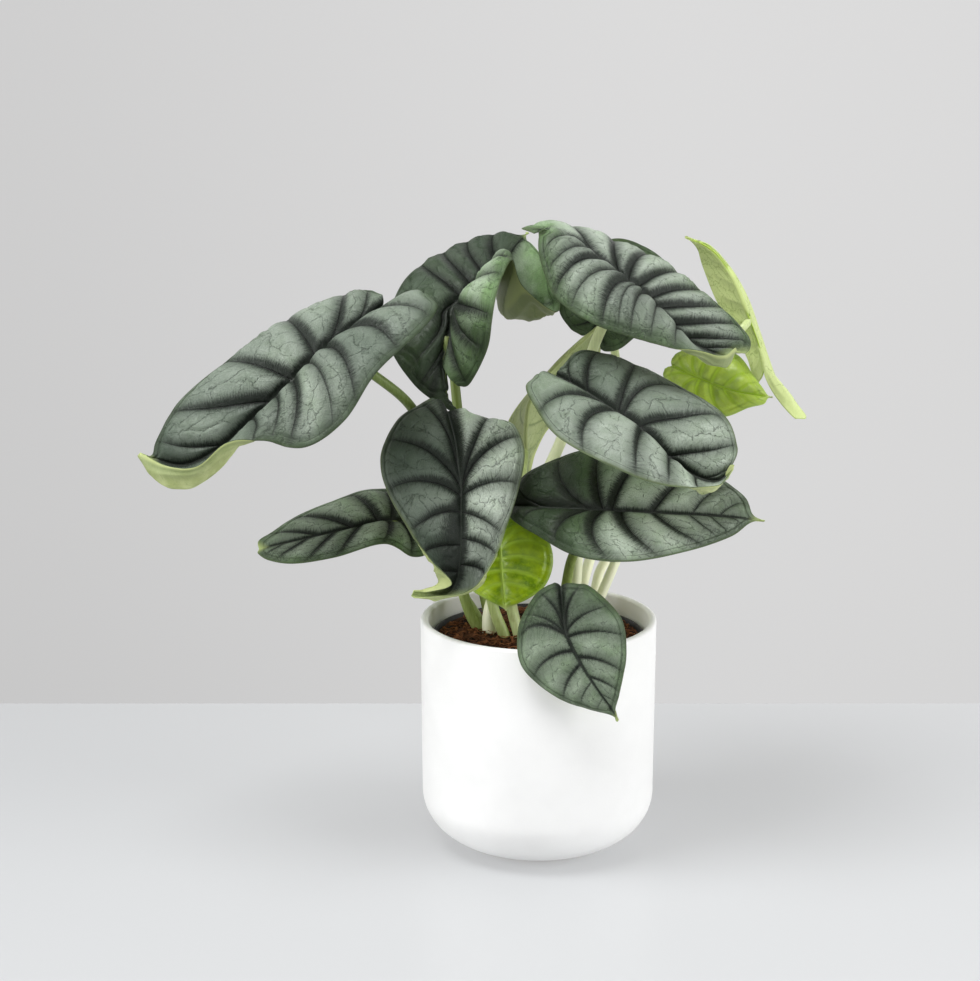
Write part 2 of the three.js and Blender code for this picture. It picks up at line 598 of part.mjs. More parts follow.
// The potting mix fills the nursery pot, with a low bumpy mound and a hole for every stalk
function soilGeometry(holes) {
  const rimZ = NURSERY_TOP_Z - NURSERY_RIM_HEIGHT;
  const floor = NURSERY_BASE_Z + NURSERY_WALL + GAP;
  const inset = NURSERY_WALL + GAP + SOIL_CLEARANCE;
  const baseRadius = NURSERY_BASE_RADIUS - inset;
  const neckRadius = NURSERY_TOP_RADIUS - inset;
  const height = (x, y) => {
    const r = Math.hypot(x, y) / neckRadius;
    const broad = Math.sin(x * BROAD_BUMPS[0] + 1) * Math.cos(y * BROAD_BUMPS[1]);
    const fine = FINE_BUMP_SHARE * Math.sin(x * FINE_BUMPS[0] + y * FINE_BUMPS[1]);
    const bumps = broad + fine;
    return SOIL_TOP + SOIL_MOUND * (1 - r * r) + SOIL_BUMP * bumps * (1 - r ** 6);
  };
  const positions = [0, 0, height(0, 0)];
  const indices = [];
  const ring = (radius, z) => {
    const first = positions.length / 3;
    for (let k = 0; k < SOIL_SIDES; k += 1) {
      const angle = (2 * Math.PI * k) / SOIL_SIDES;
      const x = radius * Math.cos(angle);
      const y = radius * Math.sin(angle);
      positions.push(x, y, z ?? height(x, y));
    }
    return first;
  };
  const starts = SOIL_RINGS.map((share) => ring(share * neckRadius));
  starts.push(ring(neckRadius, SOIL_TOP - SOIL_EDGE_DROP));
  starts.push(ring(neckRadius, rimZ));
  starts.push(ring(baseRadius, floor));
  const last = positions.length / 3;
  positions.push(0, 0, floor);
  for (let k = 0; k < SOIL_SIDES; k += 1) {
    const next = (k + 1) % SOIL_SIDES;
    indices.push(0, starts[0] + k, starts[0] + next);
    for (let n = 0; n < starts.length - 1; n += 1) {
      const a = starts[n];
      const b = starts[n + 1];
      indices.push(a + k, b + k, b + next, a + k, b + next, a + next);
    }
    const end = starts[starts.length - 1];
    indices.push(end + k, last, end + next);
  }
  let solid = toSolid(geometryFrom(positions, indices));
  for (const hole of holes) solid = solid.subtract(toSolid(hole));
  return toGeometry(solid);
}

const group = new THREE.Group();

function add(name, geometry, look) {
  const mesh = new THREE.Mesh(geometry, new THREE.MeshStandardMaterial(look));
  mesh.name = name;
  group.add(mesh);
}

add('cover_pot', potGeometry(), CERAMIC);
add('nursery_pot', nurseryGeometry(), BLACK_PLASTIC);

// Each stalk ends just under its blade, and the potting mix gets a hole for its foot
const holes = [];
for (const leaf of LEAVES) {
  const net = bladeNet(leaf);
  const look = LEAF_COLOURS[leaf.name] ?? SILVER_LEAF;
  add(`blade_${leaf.name}`, bladeGeometry(net, BLADE_THICKNESS), look);
  const joint = measuredCurve(leaf.midrib).pointAt(leaf.joint);
  const back = vector(leaf.stalk[leaf.stalk.length - 1]).sub(joint).normalize();
  const path = [...leaf.stalk, joint.addScaledVector(back, BLADE_THICKNESS).toArray()];
  const clearance = toSolid(bladeGeometry(net, BLADE_THICKNESS + 2 * GAP));
  const moved = clearance.translate(back.multiplyScalar(GAP).toArray());
  const cut = toSolid(stalkGeometry(path, leaf.stalkRadius, 0)).subtract(clearance).subtract(moved);
  add(`stalk_${leaf.name}`, toGeometry(largestBody(cut)), STALK_GREEN);
  const [x, y, z] = leaf.stalk[0];
  const deeper = [[x, y, z - GAP], ...path.slice(1)];
  holes.push(stalkGeometry(deeper, leaf.stalkRadius, GAP + HOLE_CLEARANCE));
}
add('soil', soilGeometry(holes), POTTING_MIX);

export default group;
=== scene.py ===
# Looks of the potted silver dragon alocasia. Sizes are in millimetres and become metres where a
# mesh is made. +X is the plant's right as seen from its front, +Y its back, +Z up, and the origin
# is the centre of the pot's flat foot.
import math

import bpy
import numpy as np
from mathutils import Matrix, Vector


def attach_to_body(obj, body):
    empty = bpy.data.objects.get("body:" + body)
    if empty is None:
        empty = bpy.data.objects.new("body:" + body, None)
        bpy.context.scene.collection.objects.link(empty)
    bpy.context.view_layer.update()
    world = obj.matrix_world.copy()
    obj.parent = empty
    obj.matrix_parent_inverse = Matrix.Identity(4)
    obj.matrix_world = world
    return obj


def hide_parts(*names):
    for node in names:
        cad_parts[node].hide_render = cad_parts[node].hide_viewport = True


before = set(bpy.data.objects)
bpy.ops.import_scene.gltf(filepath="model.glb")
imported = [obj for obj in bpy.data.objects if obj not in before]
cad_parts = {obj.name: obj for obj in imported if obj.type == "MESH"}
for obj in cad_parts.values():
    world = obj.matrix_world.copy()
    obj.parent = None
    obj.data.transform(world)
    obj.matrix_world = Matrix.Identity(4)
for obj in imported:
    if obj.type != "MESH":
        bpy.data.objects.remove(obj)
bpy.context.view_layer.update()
MM = 0.001

# Camera, fitted to the pot's rim and foot
CAMERA_PLACE = (-26.7, -1156.0, 475.0)
CAMERA_TARGET = (-26.7, 0.0, 200.5)
CAMERA_LENS = 80.1

# Stage: a table with its far edge behind the pot, and a wall behind it
TABLE_BACK = 229.0
TABLE_FRONT = -2200.0
TABLE_HALF_WIDTH = 2500.0
WALL_BACK = 1300.0
WALL_LOW = -2000.0
WALL_HIGH = 3000.0
WALL_HALF_WIDTH = 4000.0

# Lights: each soft box's name, place, target and size in metres, and power in watts
SOFT_BOXES = (
    ("left_box", (-1.4, -0.65, 0.6), (0, 0, 0.15), (1.0, 1.0), 14.7),
    ("right_box", (1.45, -0.6, 0.6), (0, 0, 0.1), (1.0, 1.0), 18.4),
    ("top_box", (-0.4, -0.35, 1.4), (0, 0, 0.15), (0.7, 0.6), 17),
)
WORLD_STRENGTH = 0.2

# Cover pot
POT_RADIUS = 65.0
POT_LOWER_RADIUS = 64.5
POT_HEIGHT = 129.4
POT_WALL = 4.1
POT_FLOOR = 5.0
POT_FOOT_RADIUS = 27.0
POT_CURVE_TOP = 30.0
POT_MIDDLE_Z = 70.0
POT_SIDE_RISE = 96.0
POT_LIP_HEIGHT = 1.6
POT_SIDE_TOP = POT_HEIGHT - POT_LIP_HEIGHT
POT_SIDES = 144

# Nursery pot
NURSERY_BASE_Z = 8.3
NURSERY_BASE_RADIUS = 41.0
NURSERY_TOP_RADIUS = 57.2
NURSERY_RIM_RADIUS = 58.8
NURSERY_RIM_HEIGHT = 7.0
NURSERY_TOP_Z = 119.5
NURSERY_WALL = 1.0

# Potting mix. Its bumps are (depth, size, seed), and its crumbs and fibres lie inside LOOSE_REACH.
SOIL_TOP = 117.0
SOIL_MOUND = 2.0
SOIL_GAP = 0.5
SOIL_RINGS = 96
SOIL_SIDES = 200
SOIL_BUMPS = ((1.5, 13, 11), (0.9, 5, 12), (0.5, 2.1, 13))
CRUMB_COUNT = 1500
FIBRE_COUNT = 650
FIBRE_REACH = 53.0
FIBRE_LENGTH = (3, 13)
FIBRE_RADIUS = (0.12, 0.3)
LOOSE_REACH = 54.5

# Stalks. Each swells a little above the potting mix, where the open edge of its sheath runs down
# one side, has faint ridges, and narrows at the neck under its blade.
STALK_RING_GAP = 2.2
STALK_SIDES = 24
STALK_RIDGES = 0.06
SWELLING = 0.35
SWELLING_RISE = 14.0
SWELLING_REACH = 16.0
SHEATH_EDGE = 0.5
SHEATH_HEIGHT = 42.0
SHEATH_TURN = 2.2
SHEATH_WIDTH = 0.28
NECK_NARROWING = 0.45
NECK_REACH = 1.6

# Leaves
BLADE_THICKNESS = 0.95
EDGE_THICKNESS = 0.5
TIP_START = 0.94
TIP_WIDTH = 0.22
NOTCH_NARROWING = 0.35
RIB_STATIONS = [0, 0.05, 0.14, 0.3, 0.5, 0.7, 0.85]

# Each leaf: the midrib from the notch between the back lobes to the tip, then the left and the
# right margin from the lobe to near the tip, as seen on the upper face with the tip up. Each
# margin point belongs to the rib that leaves the midrib at the same share of its length, in
# RIB_STATIONS unless the leaf lists its own. Bulge is how far a rib's middle rises above its
# chord, and via gives the middle itself where a rib curls over. The stalk runs from its foot in
# the potting mix to the joint, a share of the midrib's length, on the under face.
LEAVES = [
    dict(
        name="far_left",
        midrib=[[-83, -25, 306], [-102, -35, 294], [-113, -40, 286], [-127, -47, 273],
            [-144, -55, 257], [-163, -62, 240], [-184, -66, 230], [-205, -68, 237]],
        leftAt=[0, 0.05, 0.14, 0.3, 0.45, 0.58, 0.68, 0.76, 0.87, 0.94],
        left=[[-58, -28, 312], [-54, -34, 307], [-61, -48, 298], [-84, -70, 279], [-100, -80, 256],
            [-120, -84, 243], [-141, -84, 248], [-159, -84, 245], [-174, -84, 233], [-190, -78, 232]],
        leftBulge=[2, 4, 7, 8, 8, 7],
        leftVia=[[6, [-149, -74, 247.5]], [7, [-162, -80, 230]], [8, [-179, -80, 219]],
            [9, [-194, -76, 222]]],
        right=[[-84, -16, 311], [-91, -10, 313], [-104, 2, 307], [-132, -4, 296], [-158, -24, 283],
            [-187, -44, 261], [-198, -58, 243]],
        rightBulge=[2, 3, 6, 8, 7, 4, 2],
        joint=0.25,
        stalk=[[-32, 10, 100], [-32, 10, 116], [-39, 11, 131], [-50, 9, 170], [-61, 4, 222],
            [-69, -2, 247], [-88, -16, 267], [-103, -29, 279]],
        stalkRadius=[3.1, 2.5],
    ),
    dict(
        name="top_left",
        midrib=[[-52, 4, 277], [-48, 10, 290], [-47, 16, 300], [-33, 34, 309], [-18, 54, 320],
            [-11, 64, 328], [-5, 74, 334]],
        left=[[-43, -8, 246], [-50, -10, 249], [-68, -6, 261], [-82, 6, 285], [-75, 40, 310],
            [-51, 76, 323], [-24, 82, 331]],
        leftBulge=[2, 2, 3, 4, 5, 3, 2],
        rightAt=[0, 0.05, 0.14, 0.3, 0.5, 0.62, 0.72, 0.82, 0.9],
        right=[[-44, -6, 259], [-38, -8, 261], [-29, -14, 280], [-26, -18, 300], [-22, -8, 317],
            [-14, 8, 327], [-8, 16, 310], [10, 38, 294], [7, 60, 312]],
        rightBulge=[2, 3, 5, 6, 6, 6, 4, 3, 2],
        rightVia=[[3, [-36, -4, 307]], [4, [-27, 14, 321]], [5, [-20, 28, 325]], [6, [-22, 44, 291]],
            [7, [-2, 56, 290]]],
        joint=0.29,
        stalk=[[-22, 15, 100], [-23, 15, 116], [-29, 18, 133], [-39, 24, 189], [-44, 28, 234],
            [-47, 28, 273]],
        stalkRadius=[3.2, 2.5],
    ),
    dict(
        name="centre",
        midrib=[[-49, -14, 248], [-45, -26, 234], [-43, -34, 220], [-42, -38, 210], [-42, -44, 195],
            [-42, -48, 180], [-44, -50, 164], [-51, -53, 157], [-67, -56, 158]],
        left=[[-36, -8, 245], [-23, -9, 242], [-13, -14, 240], [-8, -26, 226], [-14, -38, 200],
            [-28, -58, 174], [-39, -62, 162]],
        leftBulge=[1, 2, 4, 4, 4, -3, -2],
        leftVia=[[5, [-28, -48, 174]], [6, [-36, -56, 159]]],
        right=[[-59, -10, 254], [-65, -12, 251], [-77, -18, 243], [-85, -28, 225], [-79, -38, 204],
            [-58, -60, 180], [-46, -62, 166]],
        rightBulge=[1, 2, 4, 4, 4, -3, -2],
        rightVia=[[5, [-60, -51, 180]], [6, [-53, -56, 165]]],
        joint=0.42,
        stalk=[[-18, -4, 100], [-18, -4, 116], [-25, -4, 136], [-30, -2, 162], [-36, -7, 189]],
        stalkRadius=[3, 2.4],
    ),
    dict(
        name="top_right",
        midrib=[[9, 20, 339], [22, 14, 334], [35, 8, 324], [49, 0, 315], [62, -6, 302],
            [73, -10, 290], [84, -14, 283], [96, -18, 279], [101, -22, 283]],
        leftAt=[0, 0.05, 0.14, 0.3, 0.5, 0.7, 0.85, 0.93],
        left=[[-3, 24, 339], [-9, 32, 341], [10, 46, 339], [41, 50, 329], [69, 38, 319],
            [95, 16, 303], [111, -4, 288], [110, -16, 281]],
        leftBulge=[1, 2, 4, 6, 6, 4, 2, 1],
        rightAt=[0, 0.05, 0.14, 0.3, 0.5, 0.7, 0.85, 0.93],
        right=[[3, 10, 341], [-1, 6, 337], [0, -6, 326], [8, -20, 309], [29, -34, 297],
            [56, -36, 289], [82, -36, 284], [94, -34, 281]],
        rightBulge=[1, 3, 6, 9, 9, 5, 2],
        rightVia=[[6, [84, -30, 275]], [7, [96, -28, 274]]],
        joint=0.41,
        stalk=[[-27, 1, 100], [-27, 2, 116], [-26, 7, 134], [-11, 8, 176], [11, 14, 222],
            [25, 16, 261], [31, 14, 281], [40, 9, 301]],
        stalkRadius=[3.6, 2.8],
    ),
    dict(
        name="middle_right",
        midrib=[[8, -24, 269], [23, -31, 262], [39, -40, 253], [53, -46, 244], [65, -52, 232],
            [80, -58, 222], [91, -62, 221], [97, -64, 230]],
        left=[[11, -20, 273], [17, -14, 279], [27, -8, 280], [47, -8, 274], [72, -14, 263],
            [94, -46, 253], [101, -56, 237]],
        leftBulge=[1, 2, 4, 5, 5, 4, 2],
        right=[[-4, -28, 269], [-8, -34, 265], [-4, -44, 257], [8, -62, 244], [35, -82, 233],
            [59, -82, 224], [86, -78, 222]],
        rightBulge=[1, 2, 4, 5, 5, 3, 0],
        rightVia=[[6, [83, -72, 216]]],
        joint=0.33,
        stalk=[[18, 8, 100], [18, 8, 116], [20, 8, 136], [22, 9, 167], [25, 8, 199], [29, 4, 222],
            [34, -20, 242]],
        stalkRadius=[3.4, 2.6],
    ),
    dict(
        name="lower_right",
        midrib=[[-17, -20, 197], [10, -32, 199], [37, -42, 200], [63, -48, 200], [90, -53, 200],
            [116, -58, 199]],
        left=[[-16, -14, 200], [-13, -9, 207], [-2, -5, 215], [26, -4, 225], [62, -14, 226],
            [88, -28, 219], [106, -44, 209]],
        leftBulge=[1, 2, 3, 4, 4, 3, 1],
        right=[[-18, -26, 194], [-14, -34, 192], [-4, -44, 188], [17, -66, 182], [45, -74, 181],
            [76, -68, 185], [98, -62, 191]],
        rightBulge=[1, 2, 3, 4, 4, 3, 1],
        joint=0.4,
        stalk=[[9, 0, 100], [9, 0, 116], [14, -4, 142], [18, -14, 167], [27, -28, 185]],
        stalkRadius=[3.2, 2.3],
    ),
    dict(
        name="front_small",
        midrib=[[10, -66, 165], [11, -70, 153], [13, -73, 141], [20, -76, 127], [29, -78, 113],
            [36, -78, 103], [40, -78, 95]],
        left=[[13, -66, 167], [18, -67, 167], [26, -68, 165], [41, -72, 150], [44, -75, 131],
            [41, -77, 112], [39, -78, 103]],
        leftBulge=[0, 1, 2, 2, 2, 1, 1],
        right=[[7, -65, 167], [2, -66, 165], [-4, -67, 160], [-12, -70, 144], [-10, -72, 123],
            [8, -74, 107], [25, -76, 101]],
        rightBulge=[0, 1, 2, 2, 2, 1, 1],
        joint=0.34,
        stalk=[[14, -14, 100], [14, -15, 114], [14, -32, 134], [14, -52, 145], [13.5, -64, 146]],
        stalkRadius=[2.8, 1.9],
    ),
    dict(
        name="low_left",
        midrib=[[-61, 16, 178], [-84, 6, 182], [-106, -2, 179], [-130, -8, 175], [-152, -12, 171]],
        leftAt=[0, 0.05, 0.14, 0.3, 0.5, 0.7, 0.85, 0.94],
        left=[[-60, 10, 172], [-60, 4, 165], [-69, -2, 164], [-84, -12, 174], [-110, -18, 168],
            [-132, -20, 165], [-146, -17, 166], [-152, -14, 169]],
        leftBulge=[0, 1, 2, 3, 3, 2, 1, 0],
        rightAt=[0, 0.05, 0.14, 0.3, 0.5, 0.7, 0.85, 0.94],
        right=[[-61, 22, 183], [-66, 26, 189], [-76, 26, 195], [-96, 22, 196], [-115, 14, 191],
            [-133, 6, 185], [-145, -4, 179], [-152, -9, 175]],
        rightBulge=[0, 1, 2, 3, 3, 2, 1, 0],
        joint=0.25,
        stalk=[[-32, 23, 100], [-32, 23, 116], [-40, 26, 131], [-55, 24, 154], [-67, 16, 171]],
        stalkRadius=[2.9, 2.2],
    ),
    dict(
        name="young_low",
        midrib=[[-22, -14, 186], [-21, -20, 173], [-20, -25, 157], [-19, -28, 145], [-18, -27, 140]],
        left=[[-19, -14, 188], [-15, -14, 189], [-8, -16, 187], [4, -22, 179], [7, -26, 167],
            [3, -28, 155], [-6, -30, 148]],
        leftBulge=[0, 1, 2, 3, 3, 2, 1],
        right=[[-25, -14, 188], [-29, -14, 187], [-35, -12, 182], [-44, -10, 172], [-46, -12, 160],
            [-38, -20, 151], [-28, -26, 146]],
        rightBulge=[0, 1, 2, 3, 3, 2, 1],
        joint=0.3,
        stalk=[[-10, -5, 100], [-10, -5, 116], [-15, -3, 134], [-17, -9, 152]],
        stalkRadius=[3.2, 2],
    ),
    dict(
        name="young_right",
        midrib=[[75, 46, 261], [90, 38, 255], [108, 28, 250], [120, 22, 249], [128, 18, 249]],
        left=[[75, 48, 265], [78, 49, 268], [85, 50, 270], [97, 48, 270], [111, 42, 268],
            [119, 32, 258], [123, 24, 253]],
        leftBulge=[0, 1, 2, 3, 3, 2, 1],
        right=[[71, 44, 260], [70, 42, 256], [75, 38, 249], [85, 28, 241], [101, 22, 237],
            [115, 18, 243], [123, 18, 245]],
        rightBulge=[0, 1, 2, 3, 3, 2, 1],
        joint=0.3,
        stalk=[[26, 12, 100], [26, 12, 116], [36, 15, 139], [43, 18, 155], [57, 30, 185],
            [73, 44, 216], [85, 50, 240]],
        stalkRadius=[3, 2.1],
    ),
    dict(
        name="far_right",
        midrib=[[124, 30, 263], [121, 28, 276], [114, 28, 294], [106, 32, 313], [95, 36, 327],
            [80, 40, 334]],
        left=[[142, 26, 235], [148, 30, 236], [135, 42, 250], [124, 48, 279], [117, 50, 298],
            [107, 50, 315], [95, 46, 328]],
        leftBulge=[0, 1, 2, 2, 2, 2, 1],
        right=[[121, 34, 253], [119, 38, 257], [117, 42, 265], [110, 46, 279], [99, 46, 298],
            [91, 46, 317], [88, 44, 326]],
        rightBulge=[0, 1, 2, 2, 2, 2, 1],
        joint=0.32,
        stalk=[[30, 24, 100], [30, 24, 116], [33, 26, 139], [38, 28, 153], [61, 40, 185],
            [86, 56, 222], [99, 60, 255], [103, 51, 272], [106, 36, 280], [110, 20, 286]],
        stalkRadius=[3, 2.1],
    ),
    dict(
        name="back_dark",
        midrib=[[30, 58, 277], [40, 62, 292], [58, 68, 304], [88, 76, 298]],
        left=[[25, 56, 277], [18, 56, 281], [12, 56, 294], [21, 62, 317], [42, 72, 329],
            [61, 78, 324], [77, 78, 312]],
        leftBulge=[0, 1, 2, 3, 3, 2, 1],
        right=[[33, 56, 271], [38, 54, 268], [47, 54, 270], [60, 56, 280], [72, 62, 283],
            [81, 68, 288], [85, 72, 293]],
        rightBulge=[0, 1, 2, 3, 3, 2, 1],
        joint=0.3,
        stalk=[[20, 27, 100], [20, 27, 116], [26, 34, 139], [36, 50, 171], [44, 68, 214],
            [46, 80, 253], [42, 76, 279]],
        stalkRadius=[3.2, 2.3],
    ),
    dict(
        name="back_rolled",
        midrib=[[-10, 14, 204], [-7, 20, 212], [-7, 28, 228], [-4, 34, 245], [10, 40, 263],
            [33, 46, 283]],
        left=[[-6, 18, 203], [-4, 28, 206], [-1, 42, 213], [6, 52, 224], [19, 56, 235], [30, 56, 252],
            [35, 52, 269]],
        leftBulge=[0, 1, 2, 2, 2, 2, 1],
        right=[[-13, 18, 204], [-17, 28, 208], [-18, 42, 216], [-16, 54, 228], [-4, 60, 244],
            [12, 58, 261], [24, 54, 273]],
        rightBulge=[0, 1, 2, 2, 2, 2, 1],
        joint=0.18,
        stalk=[[-12, 16, 100], [-12, 16, 116], [-15, 17, 134], [-17, 18, 156], [-15, 16, 175],
            [-13, 8, 190], [-10, 6, 202]],
        stalkRadius=[3, 2.2],
    ),
]

# Rows and columns of points on each half of a blade
LARGE_LEAVES = ("far_left", "top_left", "centre", "top_right", "middle_right", "lower_right")
LARGE_NET = (150, 60)
SMALL_NET = (100, 42)

# Relief of a blade, in millimetres. Puckers are (depth, size, seed shift). The midrib lies in a
# groove, a shallow one follows the margin, and the veins stand out on the under face. The relief
# fades out over RELIEF_FADE towards the margin, whose rim is rounded.
PUCKERS = ((0.3, 5.5, 0), (0.12, 2.4, 7))
RELIEF_FADE = 6.0
SUBMARGIN_IN = 3.4
SUBMARGIN_WIDTH = 0.8
SUBMARGIN_DEPTH = 0.22
MIDRIB_GROOVE = 4.2
MIDRIB_RAISED = 0.9
MIDRIB_WIDTH = 1.3
VEIN_RAISED = 0.4
VEIN_WIDTH = 0.8
THIN_RAISED = 0.2
RIM_ROUND = 0.25

# How strong the thin veins are: between two main veins, from those to it, and at its fork
MIDDLE_VEIN = 0.8
LINK_VEIN = 0.5
FORK_VEIN = 0.55

# How far apart the blades' flat coordinates are set, so that no two have the same pattern
LEAF_SHIFT = 37.0

# Main veins of each half as (start, end, breadth) or (start, end, breadth, bend): where the vein
# leaves the midrib and where it meets the margin, from 0 at the joint to 1 at the tip and to -1 at
# the notch. Breadth is a share of the leaf's band, and bend how far the vein bows to the notch.
VEIN_BEND = 0.18
USUAL_VEINS = [
    (-0.1, -0.8, 0.9, 0.25), (-0.05, -0.35, 0.9, 0.25), (0.0, 0.12, 1.0, 0.25), (0.16, 0.34, 1.0, 0.22),
    (0.34, 0.54, 0.9), (0.54, 0.7, 0.8), (0.74, 0.85, 0.6),
]
VEINS = {
    "far_left": dict(
        right=[
            (-0.6, -0.8, 0.6), (-0.12, -0.45, 1.0), (0.05, 0.1, 1.1, 0.1), (0.2, 0.42, 1.1, 0.08),
            (0.34, 0.68, 1.2, 0.08), (0.62, 0.82, 0.6, 0.08),
        ],
        left=[
            (-0.75, -0.6, 0.6, 0.25), (-0.3, -0.1, 1.1, 0.3), (0.0, 0.2, 0.9, 0.28), (0.1, 0.33, 0.5, 0.28),
            (0.2, 0.5, 1.0, 0.28), (0.3, 0.57, 0.6, 0.28), (0.44, 0.64, 0.5, 0.2),
        ],
    ),
    "top_left": dict(
        right=[
            (-0.35, -0.85, 0.8), (-0.12, -0.5, 0.9), (-0.02, 0.0, 1.1), (0.2, 0.35, 0.8), (0.4, 0.6, 0.8),
            (0.6, 0.8, 0.8),
        ],
        left=[
            (-0.25, -0.9, 0.8), (-0.1, -0.6, 0.8), (-0.03, -0.25, 0.8), (0.08, 0.42, 1.0), (0.22, 0.56, 1.2),
            (0.38, 0.68, 0.9), (0.55, 0.8, 0.9),
        ],
    ),
    "centre": dict(
        right=[
            (-0.07, -0.9, 1.1, 0.15), (-0.12, -0.47, 1.0, 0.25), (-0.03, 0.07, 1.2, 0.35),
            (0.1, 0.33, 1.0, 0.25), (0.35, 0.55, 0.8), (0.55, 0.72, 0.7),
        ],
        left=[
            (-0.07, -0.92, 1.1, 0.15), (-0.12, -0.5, 1.0, 0.25), (-0.03, -0.01, 0.7), (0.1, 0.3, 0.7),
            (0.3, 0.48, 0.6), (0.5, 0.65, 0.6),
        ],
    ),
    "top_right": dict(
        right=[
            (-0.75, -0.7, 0.35, 0.25), (-0.55, -0.5, 0.45, 0.25), (-0.35, -0.3, 1.0, 0.25),
            (-0.1, -0.08, 0.6, 0.25), (0.02, 0.19, 1.2, 0.28), (0.07, 0.3, 0.35, 0.28),
            (0.15, 0.38, 0.6, 0.25), (0.28, 0.5, 0.35), (0.5, 0.64, 0.35),
        ],
        left=[
            (-0.5, -0.6, 1.0), (-0.15, -0.25, 1.0), (-0.02, 0.05, 1.1), (0.08, 0.27, 1.0, 0.12),
            (0.2, 0.43, 1.0, 0.12), (0.3, 0.57, 1.0, 0.12), (0.45, 0.7, 1.0, 0.12), (0.6, 0.82, 0.8, 0.1),
            (0.75, 0.9, 0.6, 0.1),
        ],
    ),
    "middle_right": dict(
        right=[
            (-0.1, -0.47, 1.0, 0.35), (0.0, 0.1, 1.0, 0.32), (0.22, 0.42, 1.0, 0.2), (0.48, 0.6, 0.8, 0.1),
            (0.7, 0.8, 0.5),
        ],
        left=[
            (-0.75, -0.85, 0.5), (-0.48, -0.43, 0.9), (0.02, 0.0, 1.2, 0.03), (0.06, 0.33, 0.9, 0.27),
            (0.2, 0.58, 1.0, 0.24), (0.48, 0.76, 0.8, 0.14), (0.75, 0.9, 0.5),
        ],
    ),
    "lower_right": dict(
        right=[
            (-0.5, -0.8, 0.7, 0.3), (-0.12, -0.45, 1.1, 0.3), (-0.02, 0.06, 1.2, 0.35),
            (0.1, 0.34, 1.2, 0.27), (0.3, 0.6, 0.8, 0.22), (0.52, 0.7, 0.35),
            (0.65, 0.77, 0.25), (0.78, 0.88, 0.2),
        ],
        left=[
            (-0.6, -0.85, 0.6, 0.3), (-0.15, -0.45, 1.2, 0.3), (-0.03, -0.15, 1.2, 0.1),
            (0.04, 0.17, 1.1, 0.15), (0.3, 0.5, 0.8, 0.1), (0.55, 0.68, 0.35), (0.72, 0.82, 0.25),
        ],
    ),
    "front_small": dict(
        right=[
            (-0.1, -0.7, 1.0, 0.2), (-0.08, -0.3, 0.7, 0.25), (-0.04, 0.03, 0.9, 0.3), (0.15, 0.36, 0.9, 0.3),
            (0.3, 0.6, 0.8, 0.22), (0.5, 0.72, 0.4), (0.7, 0.82, 0.2),
        ],
        left=[
            (-0.1, -0.75, 1.0, 0.2), (-0.08, -0.3, 0.8, 0.25), (0.0, 0.1, 0.9, 0.3), (0.22, 0.4, 0.9, 0.25),
            (0.45, 0.58, 0.7), (0.65, 0.75, 0.3),
        ],
    ),
    "low_left": dict(
        right=[
            (-0.3, -0.4, 1.0), (-0.08, -0.05, 1.0), (0.08, 0.2, 1.2, 0.1), (0.28, 0.65, 1.0, 0.12),
            (0.55, 0.85, 0.7, 0.1),
        ],
        left=[
            (-0.3, -0.4, 1.0), (0.0, 0.08, 1.0), (0.22, 0.35, 1.0, 0.1), (0.42, 0.55, 1.0, 0.1),
            (0.62, 0.78, 0.8, 0.1), (0.8, 0.9, 0.5),
        ],
    ),
}

